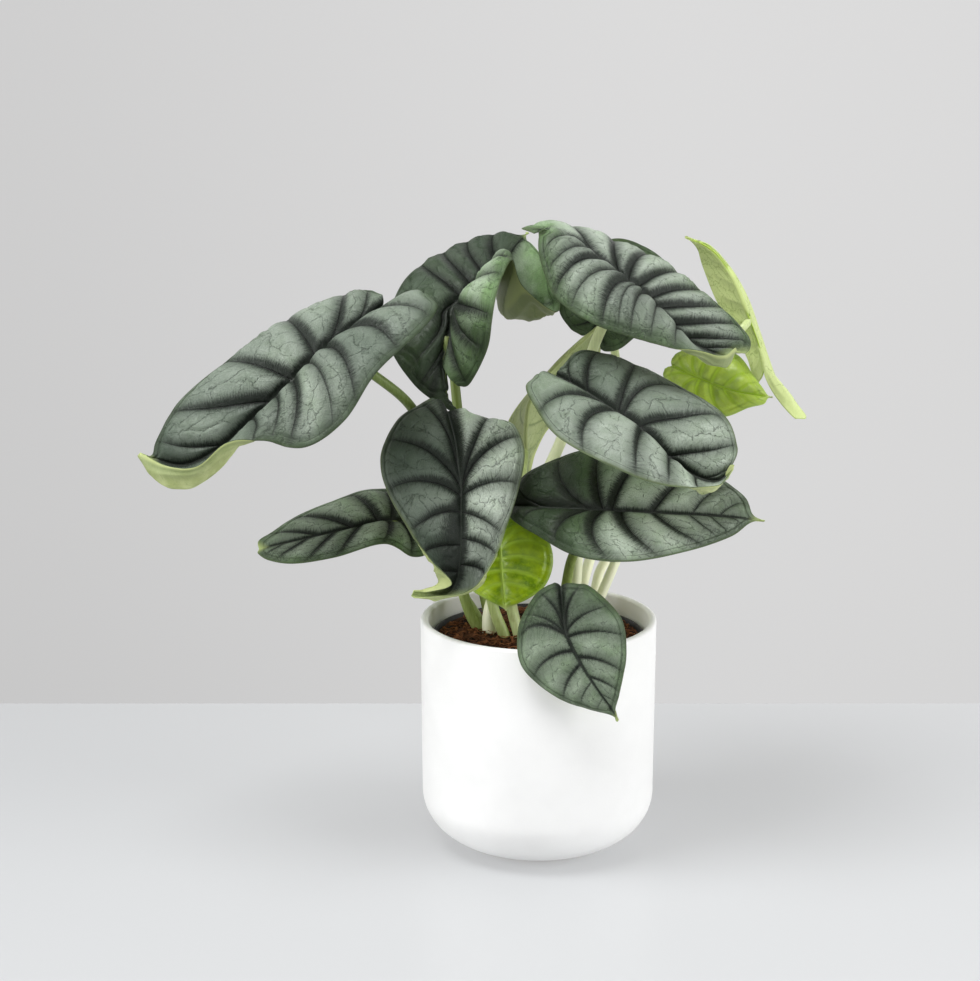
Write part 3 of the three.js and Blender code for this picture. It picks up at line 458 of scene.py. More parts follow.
# How each leaf looks. Quilt is the quilting's height, band the dark bands' width and valley the
# extra width of the band along the midrib on its left and right, a painted shade in the blade's fold
# along the midrib, all in millimetres. Fold is that band's width from the joint to the notch, as a
# share of band. The rest are shares: green is how green the blade is, light how light its left and
# right halves are, partly the blade's own tone and mostly painted light and shade for how each half
# is lit, shade how much darker it gets towards the tip as painted shade (lighter, as painted light,
# where it is below 0), and the lobe shade how much darker, as painted shade, and greener it gets
# towards the notch. Rim_green and edge are how green and how lime the margin is, tip how much of the
# tip is lime, olive how dark the under face is, line how dark the creases are, and midrib how wide
# the band along the midrib is. Rim_reach is how far in the green margin fades out, in millimetres.
PLAIN_LOOK = dict(
    quilt=2.0, band=2.6, valley_shade=(0.0, 0.0), fold=0.9, green=0.15, light=(0.4, 0.4), shade=0.1,
    lobes=0.1, rim_green=0.15, rim_reach=4.5, edge=0.0, tip=0.05, olive=0.0, line=1.0, midrib=1.0,
    young=False,
)
LOOKS = {
    "far_left": dict(
        quilt=4.0, band=4.2, green=0.08, light=(0.28, 0.3), shade=0.26, lobes=0.06, rim_green=0.6,
    ),
    "top_left": dict(
        quilt=4.4, band=4.6, green=0.62, light=(0.04, 0.95), lobes=0.3, rim_green=0.4,
        rim_reach=8.0, olive=0.6,
    ),
    "centre": dict(
        quilt=3.6, band=3.8, valley_shade=(1.0, 12.0), fold=1.6, green=0.12, light=(1.0, 0.26),
        shade=1.05, edge=0.2, tip=0.14,
    ),
    "top_right": dict(
        quilt=4.4, band=3.8, light=(0.76, 0.58), shade=0.15, lobes=0.0, rim_green=0.8,
        rim_reach=9.0, tip=0.08,
    ),
    "middle_right": dict(
        quilt=3.4, band=3.2, valley_shade=(2.0, 0.0), fold=1.1, light=(0.36, 0.62), shade=-0.3,
        lobes=0.25, edge=0.1,
    ),
    "lower_right": dict(
        quilt=3.4, band=4.0, fold=1.5, green=0.4, light=(0.85, 1.0), shade=-1.2, lobes=1.1,
        midrib=0.5,
    ),
    "front_small": dict(
        quilt=3.2, band=1.8, fold=2.0, green=0.5, light=(0.66, 0.66), shade=-1.2, lobes=0.3,
        rim_green=0.3, line=0.6, midrib=0.6,
    ),
    "low_left": dict(quilt=2.8, band=2.8, green=0.5, light=(1.0, 0.8), shade=0.0, rim_green=0.4),
    "young_low": dict(quilt=1.8, band=1.4, light=(0.05, 0.05), tip=0.08, young=True),
    "young_right": dict(quilt=1.8, band=1.4, light=(0.55, 0.55), young=True),
    "far_right": dict(quilt=0.9, band=1.0, light=(1.0, 1.0), young=True),
    "back_dark": dict(quilt=2.2, band=1.9, green=0.95, light=(0.5, 0.5)),
    "back_rolled": dict(quilt=1.0, band=1.4, green=0.5),
}

# How dark green and how cream each stalk is, as shares
STALK_LOOKS = {
    "far_left": (0.8, 0.0), "top_left": (0.45, 0.0), "centre": (0.3, 0.1), "top_right": (0.0, 0.95),
    "middle_right": (0.1, 0.9), "lower_right": (0.6, 0.0), "front_small": (0.3, 0.2),
    "low_left": (0.5, 0.0), "young_low": (0.2, 0.3), "young_right": (0.0, 0.95),
    "far_right": (0.0, 0.95), "back_dark": (0.0, 0.95), "back_rolled": (0.1, 0.5),
}


# Curves and nets
def through(points, x):
    """A smooth curve through evenly numbered points, at the point numbers x."""
    points = np.asarray(points, float)
    if points.ndim == 1:
        return through(points[:, None], x)[:, 0]
    last = len(points) - 1
    x = np.clip(np.asarray(x, float), 0, last)
    first = np.minimum(np.floor(x).astype(int), last - 1)
    f = (x - first)[:, None]
    ends = (2 * points[0] - points[1], points, 2 * points[-1] - points[-2])
    padded = np.vstack(ends)
    p0, p1, p2, p3 = (padded[first + k] for k in range(4))
    quadratic = (2 * p0 - 5 * p1 + 4 * p2 - p3) * f**2
    cubic = (-p0 + 3 * p1 - 3 * p2 + p3) * f**3
    return 0.5 * (2 * p1 + (p2 - p0) * f + quadratic + cubic)


def unit(v):
    return v / np.maximum(np.linalg.norm(v, axis=-1, keepdims=True), 1e-9)


class Curve:
    """A curve measured along its length."""

    def __init__(self, points):
        per_span = 40
        count = (len(points) - 1) * per_span
        self.samples = through(points, np.arange(count + 1) / per_span)
        steps = np.linalg.norm(np.diff(self.samples, axis=0), axis=1)
        self.lengths = np.concatenate([[0], np.cumsum(steps)])
        self.length = self.lengths[-1]

    def at(self, share):
        target = np.clip(share, 0, 1) * self.length
        axes = range(self.samples.shape[1])
        return np.stack([np.interp(target, self.lengths, self.samples[:, k]) for k in axes], axis=-1)

    def direction(self, share):
        share = np.asarray(share, float)
        ahead = self.at(np.minimum(share + 0.02, 1))
        return unit(ahead - self.at(np.maximum(share - 0.02, 0)))


def half_net(leaf, side, rows, columns):
    """One half of a blade: the share of the midrib of each row, and its points to the margin."""
    sign = 1 if side == "right" else -1
    midrib = Curve(leaf["midrib"])
    stations = list(leaf.get(side + "At", RIB_STATIONS))
    edges = [np.array(p, float) for p in leaf[side]]
    bulges = leaf[side + "Bulge"]
    via = {k: np.array(p, float) for k, p in leaf.get(side + "Via", [])}
    middles = []
    for k, edge in enumerate(edges):
        root = midrib.at(stations[k])
        up = unit(sign * np.cross(edge - root, midrib.direction(stations[k])))
        bulge = bulges[min(k, len(bulges) - 1)]
        middles.append(via.get(k, (root + edge) / 2 + bulge * up))
    if stations[-1] < 0.92:
        last_root = midrib.at(stations[-1])
        root = midrib.at(TIP_START)
        edges.append(root + TIP_WIDTH * (edges[-1] - last_root))
        middles.append(root + TIP_WIDTH * (middles[-1] - last_root))
        stations.append(TIP_START)
    tip = midrib.at(1.0)
    edges.append(tip)
    middles.append(tip)
    stations.append(1.0)
    last = len(stations) - 1
    trial = np.linspace(0, last, 600)
    spread = 0.45 * trial / last + 0.55 * np.clip(through(stations, trial), 0, 1)
    x = np.interp(np.linspace(0, 1, rows), spread, trial)
    share = np.clip(through(stations, x), 0, 1)
    root = midrib.at(share)
    along = midrib.direction(share)
    edge = through(edges, x)
    middle = through(middles, x)
    edge[-1] = middle[-1] = root[-1] = tip
    control = 2 * middle - (root + edge) / 2
    t = np.linspace(0, 1, columns + 1)[None, :, None]
    net = root[:, None] * (1 - t) ** 2 + 2 * control[:, None] * t * (1 - t) + edge[:, None] * t**2
    narrowing = np.maximum(0, 1 - x)[:, None, None]
    offset = net - root[:, None]
    forward = (offset * along[:, None]).sum(-1, keepdims=True) * along[:, None]
    sideways = offset - forward
    out = np.maximum(t, 1e-6)
    net = root[:, None] + forward * out ** (-NOTCH_NARROWING * narrowing)
    net = net + sideways * out ** (0.4 * narrowing)
    return share, net


def match_rows(share, net, wanted):
    """The net's rows at other shares of the midrib."""
    place = np.interp(wanted, share, np.arange(len(share)))
    low = np.minimum(np.floor(place).astype(int), len(share) - 2)
    f = (place - low)[:, None, None]
    return net[low] * (1 - f) + net[low + 1] * f


class Half:
    """One half of a blade with its flat coordinates: along the midrib, and out from it."""

    def __init__(self, net, share, midrib, sign):
        self.net = net
        self.share = share
        self.sign = sign
        self.midrib_length = midrib.length
        self.columns = net.shape[1] - 1
        along = midrib.direction(share)
        offset = net - midrib.at(share)[:, None]
        forward = (offset * along[:, None]).sum(-1)
        sideways = offset - forward[..., None] * along[:, None]
        steps = np.linalg.norm(np.diff(sideways, axis=1), axis=-1)
        out = np.concatenate([np.zeros((len(share), 1)), np.cumsum(steps, axis=1)], axis=1)
        self.flat = np.stack([share[:, None] * midrib.length + forward, sign * out], axis=-1)

    def place(self, share, out):
        """Flat coordinates at a share of the midrib and a share of the way to the margin."""
        row = np.interp(share, self.share, np.arange(len(self.share)))
        column = np.clip(out, 0, 1) * self.columns
        r = min(int(row), len(self.share) - 2)
        c = min(int(column), self.columns - 1)
        fr = row - r
        fc = column - c
        top = self.flat[r, c] * (1 - fc) + self.flat[r, c + 1] * fc
        low = self.flat[r + 1, c] * (1 - fc) + self.flat[r + 1, c + 1] * fc
        return top * (1 - fr) + low * fr


# Veins in flat coordinates
def bowed(start, end, sign, bend, count=22):
    """A vein from the midrib to the margin that bows towards the notch."""
    run = end - start
    across = np.array([-abs(run[1]), sign * run[0]])
    control = (start + end) / 2 + bend * across
    t = np.linspace(0, 1, count)[:, None]
    return start * (1 - t) ** 2 + 2 * control * t * (1 - t) + end * t**2


def nearest(points, line):
    """Of each point: its distance to a line, the place along it, the side (1 or -1) and the offset."""
    best = np.full(len(points), 1e9)
    where = np.zeros(len(points))
    side = np.ones(len(points))
    offset = np.zeros_like(points)
    for k in range(len(line) - 1):
        a = line[k]
        d = line[k + 1] - a
        reach = points - a
        f = np.clip((reach @ d) / max(d @ d, 1e-9), 0, 1)
        apart = reach - f[:, None] * d
        distance = np.linalg.norm(apart, axis=1)
        closer = distance < best
        best[closer] = distance[closer]
        offset[closer] = apart[closer]
        where[closer] = (k + f[closer]) / (len(line) - 1)
        turn = d[0] * reach[closer, 1] - d[1] * reach[closer, 0]
        side[closer] = np.where(turn < 0, -1, 1)
    return best, where, side, offset


def half_veins(half, leaf, side_name):
    """Main veins of one half as (line, breadth), notch to tip, and thin veins as (line, strength)."""
    joint = leaf["joint"]

    def place(share, out):
        span = 1 - joint if share > 0 else joint
        return half.place(joint + share * span, out)

    mains = []
    for start, end, breadth, *bend in VEINS.get(leaf["name"], {}).get(side_name, USUAL_VEINS):
        line = bowed(place(start, 0), place(end, 1), half.sign, bend[0] if bend else VEIN_BEND)
        mains.append((line, breadth))
    thins = []
    for k, ((before, _), (after, _)) in enumerate(zip(mains[:-1], mains[1:])):
        t = np.linspace(0, 1, len(before))[:, None]
        wave = 0.5 + 0.1 * np.sin(9 * t + 2.3 * k) + 0.04 * np.sin(23 * t + k)
        middle = before + (after - before) * wave
        thins.append((middle[4:], MIDDLE_VEIN))
        starts = ((before, 3), (before, 8), (before, 13), (after, 5), (after, 10), (after, 15))
        for n, (edge, first) in enumerate(starts):
            last = min(first + 3 + (n + k) % 3, len(middle) - 1)
            u = np.linspace(0, 1, 9)[:, None]
            link = edge[first] + (middle[last] - edge[first]) * u
            bow = edge[min(first + 4, len(edge) - 1)] - edge[first]
            link += bow * (0.3 * np.sin(np.pi * u) + 0.07 * np.sin(3 * np.pi * u + n + k))
            thins.append((link, LINK_VEIN))
        for edge in (before, after):
            thins.append((np.linspace(middle[14], (middle[-1] + edge[-1]) / 2, 6), FORK_VEIN))
    return mains, thins


def half_fields(half, leaf, side_name, look):
    """Fields of one half.

    Dark is the bands: the leaf's own dark veins, with painted shade beside each vein and in the
    midrib's valley. Vein is the signed distance to the nearest main vein and along the place on it,
    crease that vein's strength, thin the strength of the thin veins, twig the offset from the
    nearest of them, and groove how deep the quilting is pressed in.
    """
    mains, thins = half_veins(half, leaf, side_name)
    shape = half.flat.shape[:2]
    points = half.flat.reshape(-1, 2)
    band = look["band"]
    joint_mm = leaf["joint"] * half.midrib_length
    beyond = (points[:, 0] - joint_mm) / (half.midrib_length - joint_mm)
    behind = np.clip(-beyond * 6, 0, 1)
    ahead = np.clip(beyond, 0, 1)
    # The valley widens the dark band along the midrib: a painted shade in the blade's fold there.
    valley_shade = look["valley_shade"][0 if side_name == "left" else 1]
    breadth = look["midrib"] * band * (1.25 - 0.95 * ahead) + valley_shade * np.sin(np.pi * ahead) ** 0.7
    breadth = breadth * (1 - behind) + band * look["fold"] * behind
    away = np.abs(points[:, 1])
    dark = np.exp(-((away / breadth) ** 2.2)) * (1 - 0.45 * ahead**2)
    groove = np.exp(-away / MIDRIB_GROOVE)
    crease = 0.8 - 0.4 * behind
    distance = away.copy()
    lie = points[:, 0].copy()
    sign = np.ones(len(points))
    for k, (line, share) in enumerate(mains):
        d, where, side, _ = nearest(points, line)
        side = -half.sign * side
        sign *= side
        width = band * share * (1.05 - 0.6 * where)
        # The dark bands are the leaf's own dark veins, set 0.3 of their width off to one side of each vein as
        # a painted shade beside it.
        off = np.abs(d * side + 0.3 * width)
        fading = (1 - 0.6 * where**2) * min(1, 0.4 + 0.6 * share)
        dark = np.maximum(dark, fading * np.exp(-((off / width) ** 1.8)))
        strength = (1 - 0.55 * where**2) * min(1, 0.6 + 0.4 * share)
        groove = np.maximum(groove, strength * np.exp(-d / (2.2 + 1.6 * share)))
        nearer = d < distance
        distance = np.minimum(distance, d)
        length = np.linalg.norm(np.diff(line, axis=0), axis=1).sum()
        lie = np.where(nearer, where * length + 61.0 * (k + 1), lie)
        crease = np.where(nearer, strength * np.clip((1 - where) / 0.12, 0, 1), crease)
    thin = np.zeros(len(points))
    closest = np.full(len(points), 1e9)
    twig = np.full((len(points), 2), 9.0)
    for line, share in thins:
        d, _, _, offset = nearest(points, line)
        thin = np.maximum(thin, share * np.exp(-((d / 0.9) ** 2)))
        groove = np.maximum(groove, 0.34 * share * np.exp(-d / 1.3))
        closer = d < closest
        closest[closer] = d[closer]
        twig[closer] = offset[closer]
    fields = dict(dark=dark, vein=sign * distance, along=lie, crease=crease, thin=thin, groove=groove)
    fields = {key: value.reshape(shape) for key, value in fields.items()}
    return {**fields, "twig": twig.reshape(*shape, 2)}


# Repeatable noise
def hashed(ix, iy, seed):
    n = (ix.astype(np.int64) * 374761393 + iy.astype(np.int64) * 668265263 + seed * 144269504) & 0xFFFFFFFF
    n = ((n ^ (n >> 13)) * 1274126177) & 0xFFFFFFFF
    return ((n ^ (n >> 16)) & 0xFFFF) / 65535.0


def noise(x, y, size, seed):
    """Smooth noise from -1 to 1 with features of the given size."""
    u = x / size
    v = y / size
    ix = np.floor(u)
    iy = np.floor(v)
    fx = (u - ix) ** 2 * (3 - 2 * (u - ix))
    fy = (v - iy) ** 2 * (3 - 2 * (v - iy))
    low = hashed(ix, iy, seed) * (1 - fx) + hashed(ix + 1, iy, seed) * fx
    high = hashed(ix, iy + 1, seed) * (1 - fx) + hashed(ix + 1, iy + 1, seed) * fx
    return 2 * (low * (1 - fy) + high * fy) - 1


# Meshes
def make_mesh(name, points, faces, materials, face_material=None, attributes=None):
    """A smooth piece from points in millimetres and lists of faces of 3 or 4 corners each."""
    mesh = bpy.data.meshes.new(name)
    corners = np.concatenate([np.asarray(f, np.int32).ravel() for f in faces])
    sizes = np.concatenate([np.full(len(f), len(f[0]), np.int32) for f in faces])
    starts = np.concatenate([[0], np.cumsum(sizes)[:-1]]).astype(np.int32)
    mesh.vertices.add(len(points))
    mesh.vertices.foreach_set("co", (np.asarray(points) * MM).astype(np.float32).ravel())
    mesh.loops.add(len(corners))
    mesh.loops.foreach_set("vertex_index", corners)
    mesh.polygons.add(len(sizes))
    mesh.polygons.foreach_set("loop_start", starts)
    mesh.polygons.foreach_set("use_smooth", np.ones(len(sizes), bool))
    for material in materials:
        mesh.materials.append(material)
    if face_material is not None:
        mesh.polygons.foreach_set("material_index", np.asarray(face_material, np.int32))
    mesh.update(calc_edges=True)
    mesh.validate()
    for key, values in (attributes or {}).items():
        values = np.asarray(values, np.float32)
        kind = "FLOAT_VECTOR" if values.ndim == 2 else "FLOAT"
        slot = mesh.attributes.new(key, kind, "POINT")
        slot.data.foreach_set("vector" if values.ndim == 2 else "value", values.ravel())
    obj = bpy.data.objects.new(name, mesh)
    bpy.context.scene.collection.objects.link(obj)
    return obj


def faces_of(*corners):
    """Faces from the numbers of their first points, their second points, and so on."""
    return np.stack(np.broadcast_arrays(*corners), axis=-1)


def grid_faces(rows, columns, start=0, wrap=False):
    """Quads of a grid of rows by columns of points, numbered row by row."""
    r = np.arange(rows - 1)[:, None]
    c = np.arange(columns if wrap else columns - 1)[None, :]
    a = start + r * columns + c
    b = start + r * columns + (c + 1) % columns
    return faces_of(a, b, b + columns, a + columns).reshape(-1, 4)


def closed_tube(rings, sides):
    """Faces of a tube of rings whose ends close on the two points after its rings."""
    k = np.arange(sides)
    after = (k + 1) % sides
    last = (rings - 1) * sides
    first_cap = faces_of(after, k, rings * sides)
    last_cap = faces_of(last + k, last + after, rings * sides + 1)
    return [grid_faces(rings, sides, wrap=True), np.concatenate([first_cap, last_cap])]


def level_ring(radius, z, angles):
    return np.column_stack([radius * np.cos(angles), radius * np.sin(angles), np.full(len(angles), z)])


def around(sides):
    return np.linspace(0, 2 * np.pi, sides, endpoint=False)


def attach(obj, slot_name, *nodes):
    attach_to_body(obj, "root")
    if nodes:
        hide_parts(*nodes)
    return obj


# Material helpers
def colour(red, green, blue):
    """A colour given as it looks on screen, from 0 to 255, as the linear values a node takes."""
    def linear(value):
        value = value / 255
        return value / 12.92 if value < 0.04045 else ((value + 0.055) / 1.055) ** 2.4
    return (linear(red), linear(green), linear(blue), 1.0)


class Nodes:
    """Builds a material's nodes: each call adds a node and returns its output."""

    def __init__(self, name):
        self.material = bpy.data.materials.new(name)
        self.material.use_nodes = True
        self.tree = self.material.node_tree
        self.shader = self.tree.nodes["Principled BSDF"]

    def put(self, socket, value):
        if isinstance(value, bpy.types.NodeSocket):
            self.tree.links.new(value, socket)
        else:
            socket.default_value = value

    def add(self, kind, inputs, **settings):
        """Adds a node with its settings and its inputs, and returns all its outputs."""
        node = self.tree.nodes.new("ShaderNode" + kind)
        for key, value in settings.items():
            setattr(node, key, value)
        for key, value in inputs.items():
            self.put(node.inputs[key], value)
        return node.outputs

    def attribute(self, name, vector=False):
        return self.add("Attribute", {}, attribute_name=name)["Vector" if vector else "Fac"]

    def place(self):
        return self.add("TexCoord", {})["Object"]

    def part(self, vector, axis):
        return self.add("SeparateXYZ", {0: vector})[axis]

    def math(self, operation, a, b=0.0, clamp=False):
        return self.add("Math", {0: a, 1: b}, operation=operation, use_clamp=clamp)[0]

    def times(self, a, b):
        return self.math("MULTIPLY", a, b)

    def vector(self, operation, a, b):
        return self.add("VectorMath", {0: a, 1: b}, operation=operation)[0]

    def noise(self, vector, scale, detail=3.0, roughness=0.55):
        inputs = {"Vector": vector, "Scale": scale, "Detail": detail, "Roughness": roughness}
        return self.add("TexNoise", inputs)["Fac"]

    def cells(self, vector, scale):
        inputs = {"Vector": vector, "Scale": scale}
        return self.add("TexVoronoi", inputs, feature="DISTANCE_TO_EDGE")["Distance"]

    def spread(self, value, low, high, to_low=0.0, to_high=1.0):
        """A value's smooth rise from to_low at low to to_high at high."""
        inputs = {"Value": value, "From Min": low, "From Max": high, "To Min": to_low, "To Max": to_high}
        return self.add("MapRange", inputs, interpolation_type="SMOOTHSTEP")["Result"]

    def mix(self, factor, a, b):
        """A mix of two colours, each a node's output or (red, green, blue) as on screen."""
        a, b = (colour(*c) if isinstance(c, tuple) else c for c in (a, b))
        return self.add("Mix", {"Factor": factor, 6: a, 7: b}, data_type="RGBA")[2]

    def bump(self, height, distance, strength):
        outputs = self.add("Bump", {"Strength": strength, "Distance": distance, "Height": height})
        self.put(self.shader.inputs["Normal"], outputs["Normal"])

    def finish(self, base, roughness, specular):
        inputs = {"Base Color": base, "Roughness": roughness, "Specular IOR Level": specular}
        for key, value in inputs.items():
            self.put(self.shader.inputs[key], value)
        return self.material


# Veinlets of a blade: the scale of their cells, their width, and how seldom they show
VEINLETS = {"long": (0.12, 0.02, 0.44), "coarse": (0.3, 0.045, 0.46), "fine": (0.9, 0.12, 0.3)}


class LeafNodes(Nodes):
    """The nodes of one face of a blade, with the fields that its coats of colour go by."""

    def __init__(self, name, patch_scale, crease_start, crease_end):
        super().__init__(name)
        self.flat = self.attribute("leaf_mm", vector=True)
        loose = self.wander(self.wander(self.flat, 0.1, 9.0), 0.45, 2.2)
        twig = self.wander(self.attribute("twig", vector=True), 0.5, 2.2)
        off_twig = self.add("VectorMath", {0: twig}, operation="LENGTH")["Value"]
        near_twig = self.spread(self.attribute("thin"), 0.02, 0.5)
        off_vein = self.math("ABSOLUTE", self.attribute("vein"))
        crease = self.spread(off_vein, crease_start, crease_end, 1.0, 0.0)
        self.fields = {
            "patch": self.noise(self.flat, patch_scale),
            "off_midrib": self.math("ABSOLUTE", self.part(self.flat, "Y")),
            "off_vein": off_vein,
            "crease": self.times(crease, self.attribute("crease")),
            "thin": self.times(self.spread(off_twig, 0.08, 0.4, 1.0, 0.0), near_twig),
        }
        for key, (scale, width, there) in VEINLETS.items():
            line = self.spread(self.cells(loose, scale), 0.0, width, 1.0, 0.0)
            shown = self.spread(self.noise(loose, 2.2 * scale, 1.0), there, there + 0.16)
            self.fields[key] = self.times(line, shown)

    def wander(self, vector, scale, reach):
        """A vector that noise on the leaf's flat coordinates moves about."""
        shift = self.add("TexNoise", {"Vector": self.flat, "Scale": scale})["Color"]
        shift = self.vector("SUBTRACT", shift, (0.5, 0.5, 0.5))
        return self.vector("ADD", vector, self.vector("MULTIPLY", shift, (reach, reach, 0.0)))

    def field(self, key):
        return self.fields[key] if key in self.fields else self.attribute(key)

    def coats(self, base, *coats):
        """Coats of colour on a base, each as (field, its share or its spread, colour)."""
        for key, amount, paint in coats:
            if isinstance(amount, tuple):
                share = self.spread(self.field(key), *amount)
            else:
                share = self.times(self.field(key), amount)
            base = self.mix(share, base, paint)
        return base


# Materials
def silver_upper():
    m = LeafNodes("silver_upper", 0.09, 0.1, 0.65)
    green = m.attribute("green")
    light = m.attribute("light")
    off_vein = m.field("off_vein")
    along = m.times(m.attribute("along"), 2.0)
    streak_place = m.add("CombineXYZ", {0: along, 1: m.times(off_vein, 0.2)})[0]
    streak = m.noise(streak_place, 1.0, 3.0, 0.6)
    grain = m.noise(m.flat, 1.4, 4.0)
    net = m.times(m.spread(streak, 0.5, 0.62), m.spread(off_vein, 1.0, 8.0, 0.36, 0.0))
    for key, strength in (("coarse", 0.2), ("fine", 0.2), ("long", 0.28), ("thin", 0.6)):
        net = m.math("MAXIMUM", net, m.times(m.field(key), strength))
    ragged = m.math("ADD", m.attribute("dark"), m.spread(streak, 0.3, 0.7, -0.16, 0.16))
    m.fields.update({
        "grain": grain,
        "net": net,
        "band": m.math("ADD", ragged, m.spread(grain, 0.2, 0.8, -0.06, 0.06)),
        "submargin": m.math("ABSOLUTE", m.math("SUBTRACT", m.attribute("edge"), 2.7)),
    })

    def tinted(silver, leafy):
        return m.mix(green, silver, leafy)

    mottle = m.math("ADD", green, m.spread(m.field("patch"), 0.4, 0.7, -0.08, 0.18), clamp=True)
    # Painted light and shade: light mixes shaded and lit copies of the silver and of the green, and of the
    # rim below.
    silver = m.mix(light, (76, 91, 76), (212, 223, 208))
    leafy = m.mix(light, (22, 44, 12), (124, 156, 104))
    base = m.coats(
        m.mix(mottle, silver, leafy),
        # Darker towards the main veins and lighter in the pillows' middles: partly the blade's own silver and
        # partly painted shade of the quilting.
        ("off_vein", (0.8, 9.0, 0.6, 0.0), tinted((66, 76, 66), (36, 50, 26))),
        ("edge", (0.0, 4.0, 0.4, 0.0), tinted((70, 80, 66), (44, 62, 32))),
        ("grain", (0.3, 0.75, 0.0, 0.2), tinted((106, 116, 104), (70, 88, 56))),
        ("net", 1.0, tinted((40, 48, 40), (26, 38, 20))),
        ("band", (0.08, 0.85), tinted((27, 35, 27), (15, 26, 10))),
        ("crease", 0.9, (11, 15, 10)),
        ("off_midrib", (0.2, 0.6, 0.35, 0.0), (80, 88, 78)),
        ("submargin", (0.08, 0.4, 0.55, 0.0), (38, 50, 32)),
        ("edge", (0.2, 1.1, 0.8, 0.0), m.mix(light, (40, 56, 30), (80, 98, 60))),
        ("lime", 1.0, (172, 188, 122)),
    )
    height = m.math("ADD", m.times(grain, 0.55), m.times(streak, 0.5))
    depths = (("coarse", 0.4), ("fine", 0.3), ("long", 0.5), ("thin", 0.8), ("crease", 1.3))
    for key, depth in depths:
        height = m.math("SUBTRACT", height, m.times(m.field(key), depth))
    m.bump(height, 0.0005, 0.8)
    return m.finish(base, m.spread(grain, 0.2, 0.8, 0.36, 0.5), 0.36)


def pale_under():
    m = LeafNodes("pale_under", 0.12, 0.2, 0.9)
    mottle = m.spread(m.field("patch"), 0.3, 0.7)
    veinlet = (104, 124, 66)
    rib = m.mix(m.attribute("olive"), (186, 196, 130), (120, 132, 76))
    base = m.coats(
        m.mix(mottle, (160, 171, 108), (188, 197, 139)),
        ("green", 1.0, (104, 120, 72)),
        # Painted light: lighter where the blade is painted as lit.
        ("light", 0.7, (190, 199, 150)),
        ("olive", 1.0, m.mix(mottle, (62, 74, 36), (92, 102, 58))),
        ("long", 0.4, veinlet),
        ("coarse", 0.25, veinlet),
        ("fine", 0.1, veinlet),
        ("dark", (0.2, 0.9, 0.0, 0.3), (108, 126, 70)),
        ("thin", 0.5, (98, 116, 62)),
        ("crease", 0.5, (88, 106, 54)),
        ("off_midrib", (0.5, 1.3, 0.5, 0.0), rib),
        ("edge", (0.3, 1.4, 0.7, 0.0), rib),
    )
    m.bump(m.math("ADD", m.noise(m.flat, 1.2), m.times(m.field("coarse"), 0.4)), 0.0002, 0.4)
    return m.finish(base, 0.5, 0.4)


def young_upper():
    m = LeafNodes("young_upper", 0.11, 0.4, 1.8)
    base = m.coats(
        m.mix(m.spread(m.field("patch"), 0.3, 0.7), (100, 138, 0), (168, 196, 8)),
        # Painted light: lighter where the blade is painted as lit.
        ("light", 1.0, (204, 224, 122)),
        ("long", 0.35, (170, 196, 40)),
        ("coarse", 0.25, (170, 196, 30)),
        ("fine", 0.12, (170, 196, 30)),
        ("dark", (0.05, 0.7, 0.0, 0.6), (66, 106, 2)),
        ("thin", 0.4, (166, 196, 36)),
        ("crease", 0.75, (180, 212, 60)),
        ("off_midrib", (0.4, 1.3, 0.8, 0.0), (178, 208, 70)),
        ("edge", (0.4, 1.8, 0.6, 0.0), (160, 188, 92)),
        ("lime", 1.0, (208, 220, 150)),
    )
    m.bump(m.math("SUBTRACT", m.noise(m.flat, 1.2), m.field("coarse")), 0.00025, 0.5)
    return m.finish(base, 0.28, 0.42)


def young_under():
    m = LeafNodes("young_under", 0.12, 0.4, 1.8)
    veinlet = (118, 148, 58)
    base = m.coats(
        m.mix(m.spread(m.field("patch"), 0.3, 0.7), (164, 190, 92), (188, 208, 120)),
        # Painted light: lighter where the blade is painted as lit.
        ("light", 1.0, (206, 219, 150)),
        ("long", 0.3, veinlet),
        ("coarse", 0.2, veinlet),
        ("fine", 0.08, veinlet),
        ("thin", 0.5, (122, 150, 62)),
        ("off_midrib", (0.5, 1.3, 0.6, 0.0), (196, 212, 134)),
    )
    m.bump(m.noise(m.flat, 1.2), 0.0002, 0.4)
    return m.finish(base, 0.45, 0.4)


def stalk_skin():
    m = Nodes("stalk_skin")
    place = m.place()
    streak = m.noise(m.vector("MULTIPLY", place, (900.0, 900.0, 60.0)), 1.0)
    streaked = m.spread(streak, 0.3, 0.7)
    foot = m.spread(m.attribute("rise"), 0.0, 0.12, 0.55, 0.0)
    blotch = m.spread(m.noise(place, 90.0), 0.62, 0.75, 0.0, 0.3)
    base = m.mix(streaked, (166, 186, 98), (190, 208, 128))
    base = m.mix(m.attribute("cream"), base, (252, 253, 224))
    base = m.mix(m.attribute("dark"), base, m.mix(streaked, (58, 78, 26), (82, 102, 40)))
    base = m.mix(foot, base, (208, 204, 160))
    base = m.mix(blotch, base, (120, 108, 62))
    m.bump(streak, 0.00025, 0.35)
    return m.finish(base, 0.42, 0.45)


def matt_glaze():
    m = Nodes("matt_glaze")
    place = m.place()
    grain = m.noise(place, 900.0)
    cloud = m.noise(place, 22.0)
    speck = m.spread(m.noise(place, 2400.0, 2.0), 0.7, 0.8, 0.0, 0.08)
    foot = m.spread(m.part(place, "Z"), 0.0005, 0.0016, 1.0, 0.0)
    base = m.mix(m.spread(cloud, 0.3, 0.7), (243, 243, 242), (249, 249, 248))
    base = m.mix(speck, base, (200, 198, 192))
    base = m.mix(foot, base, (150, 132, 112))
    m.bump(m.math("ADD", grain, m.times(cloud, 2.0)), 0.00012, 0.35)
    return m.finish(base, m.spread(grain, 0.3, 0.7, 0.5, 0.62), 0.4)


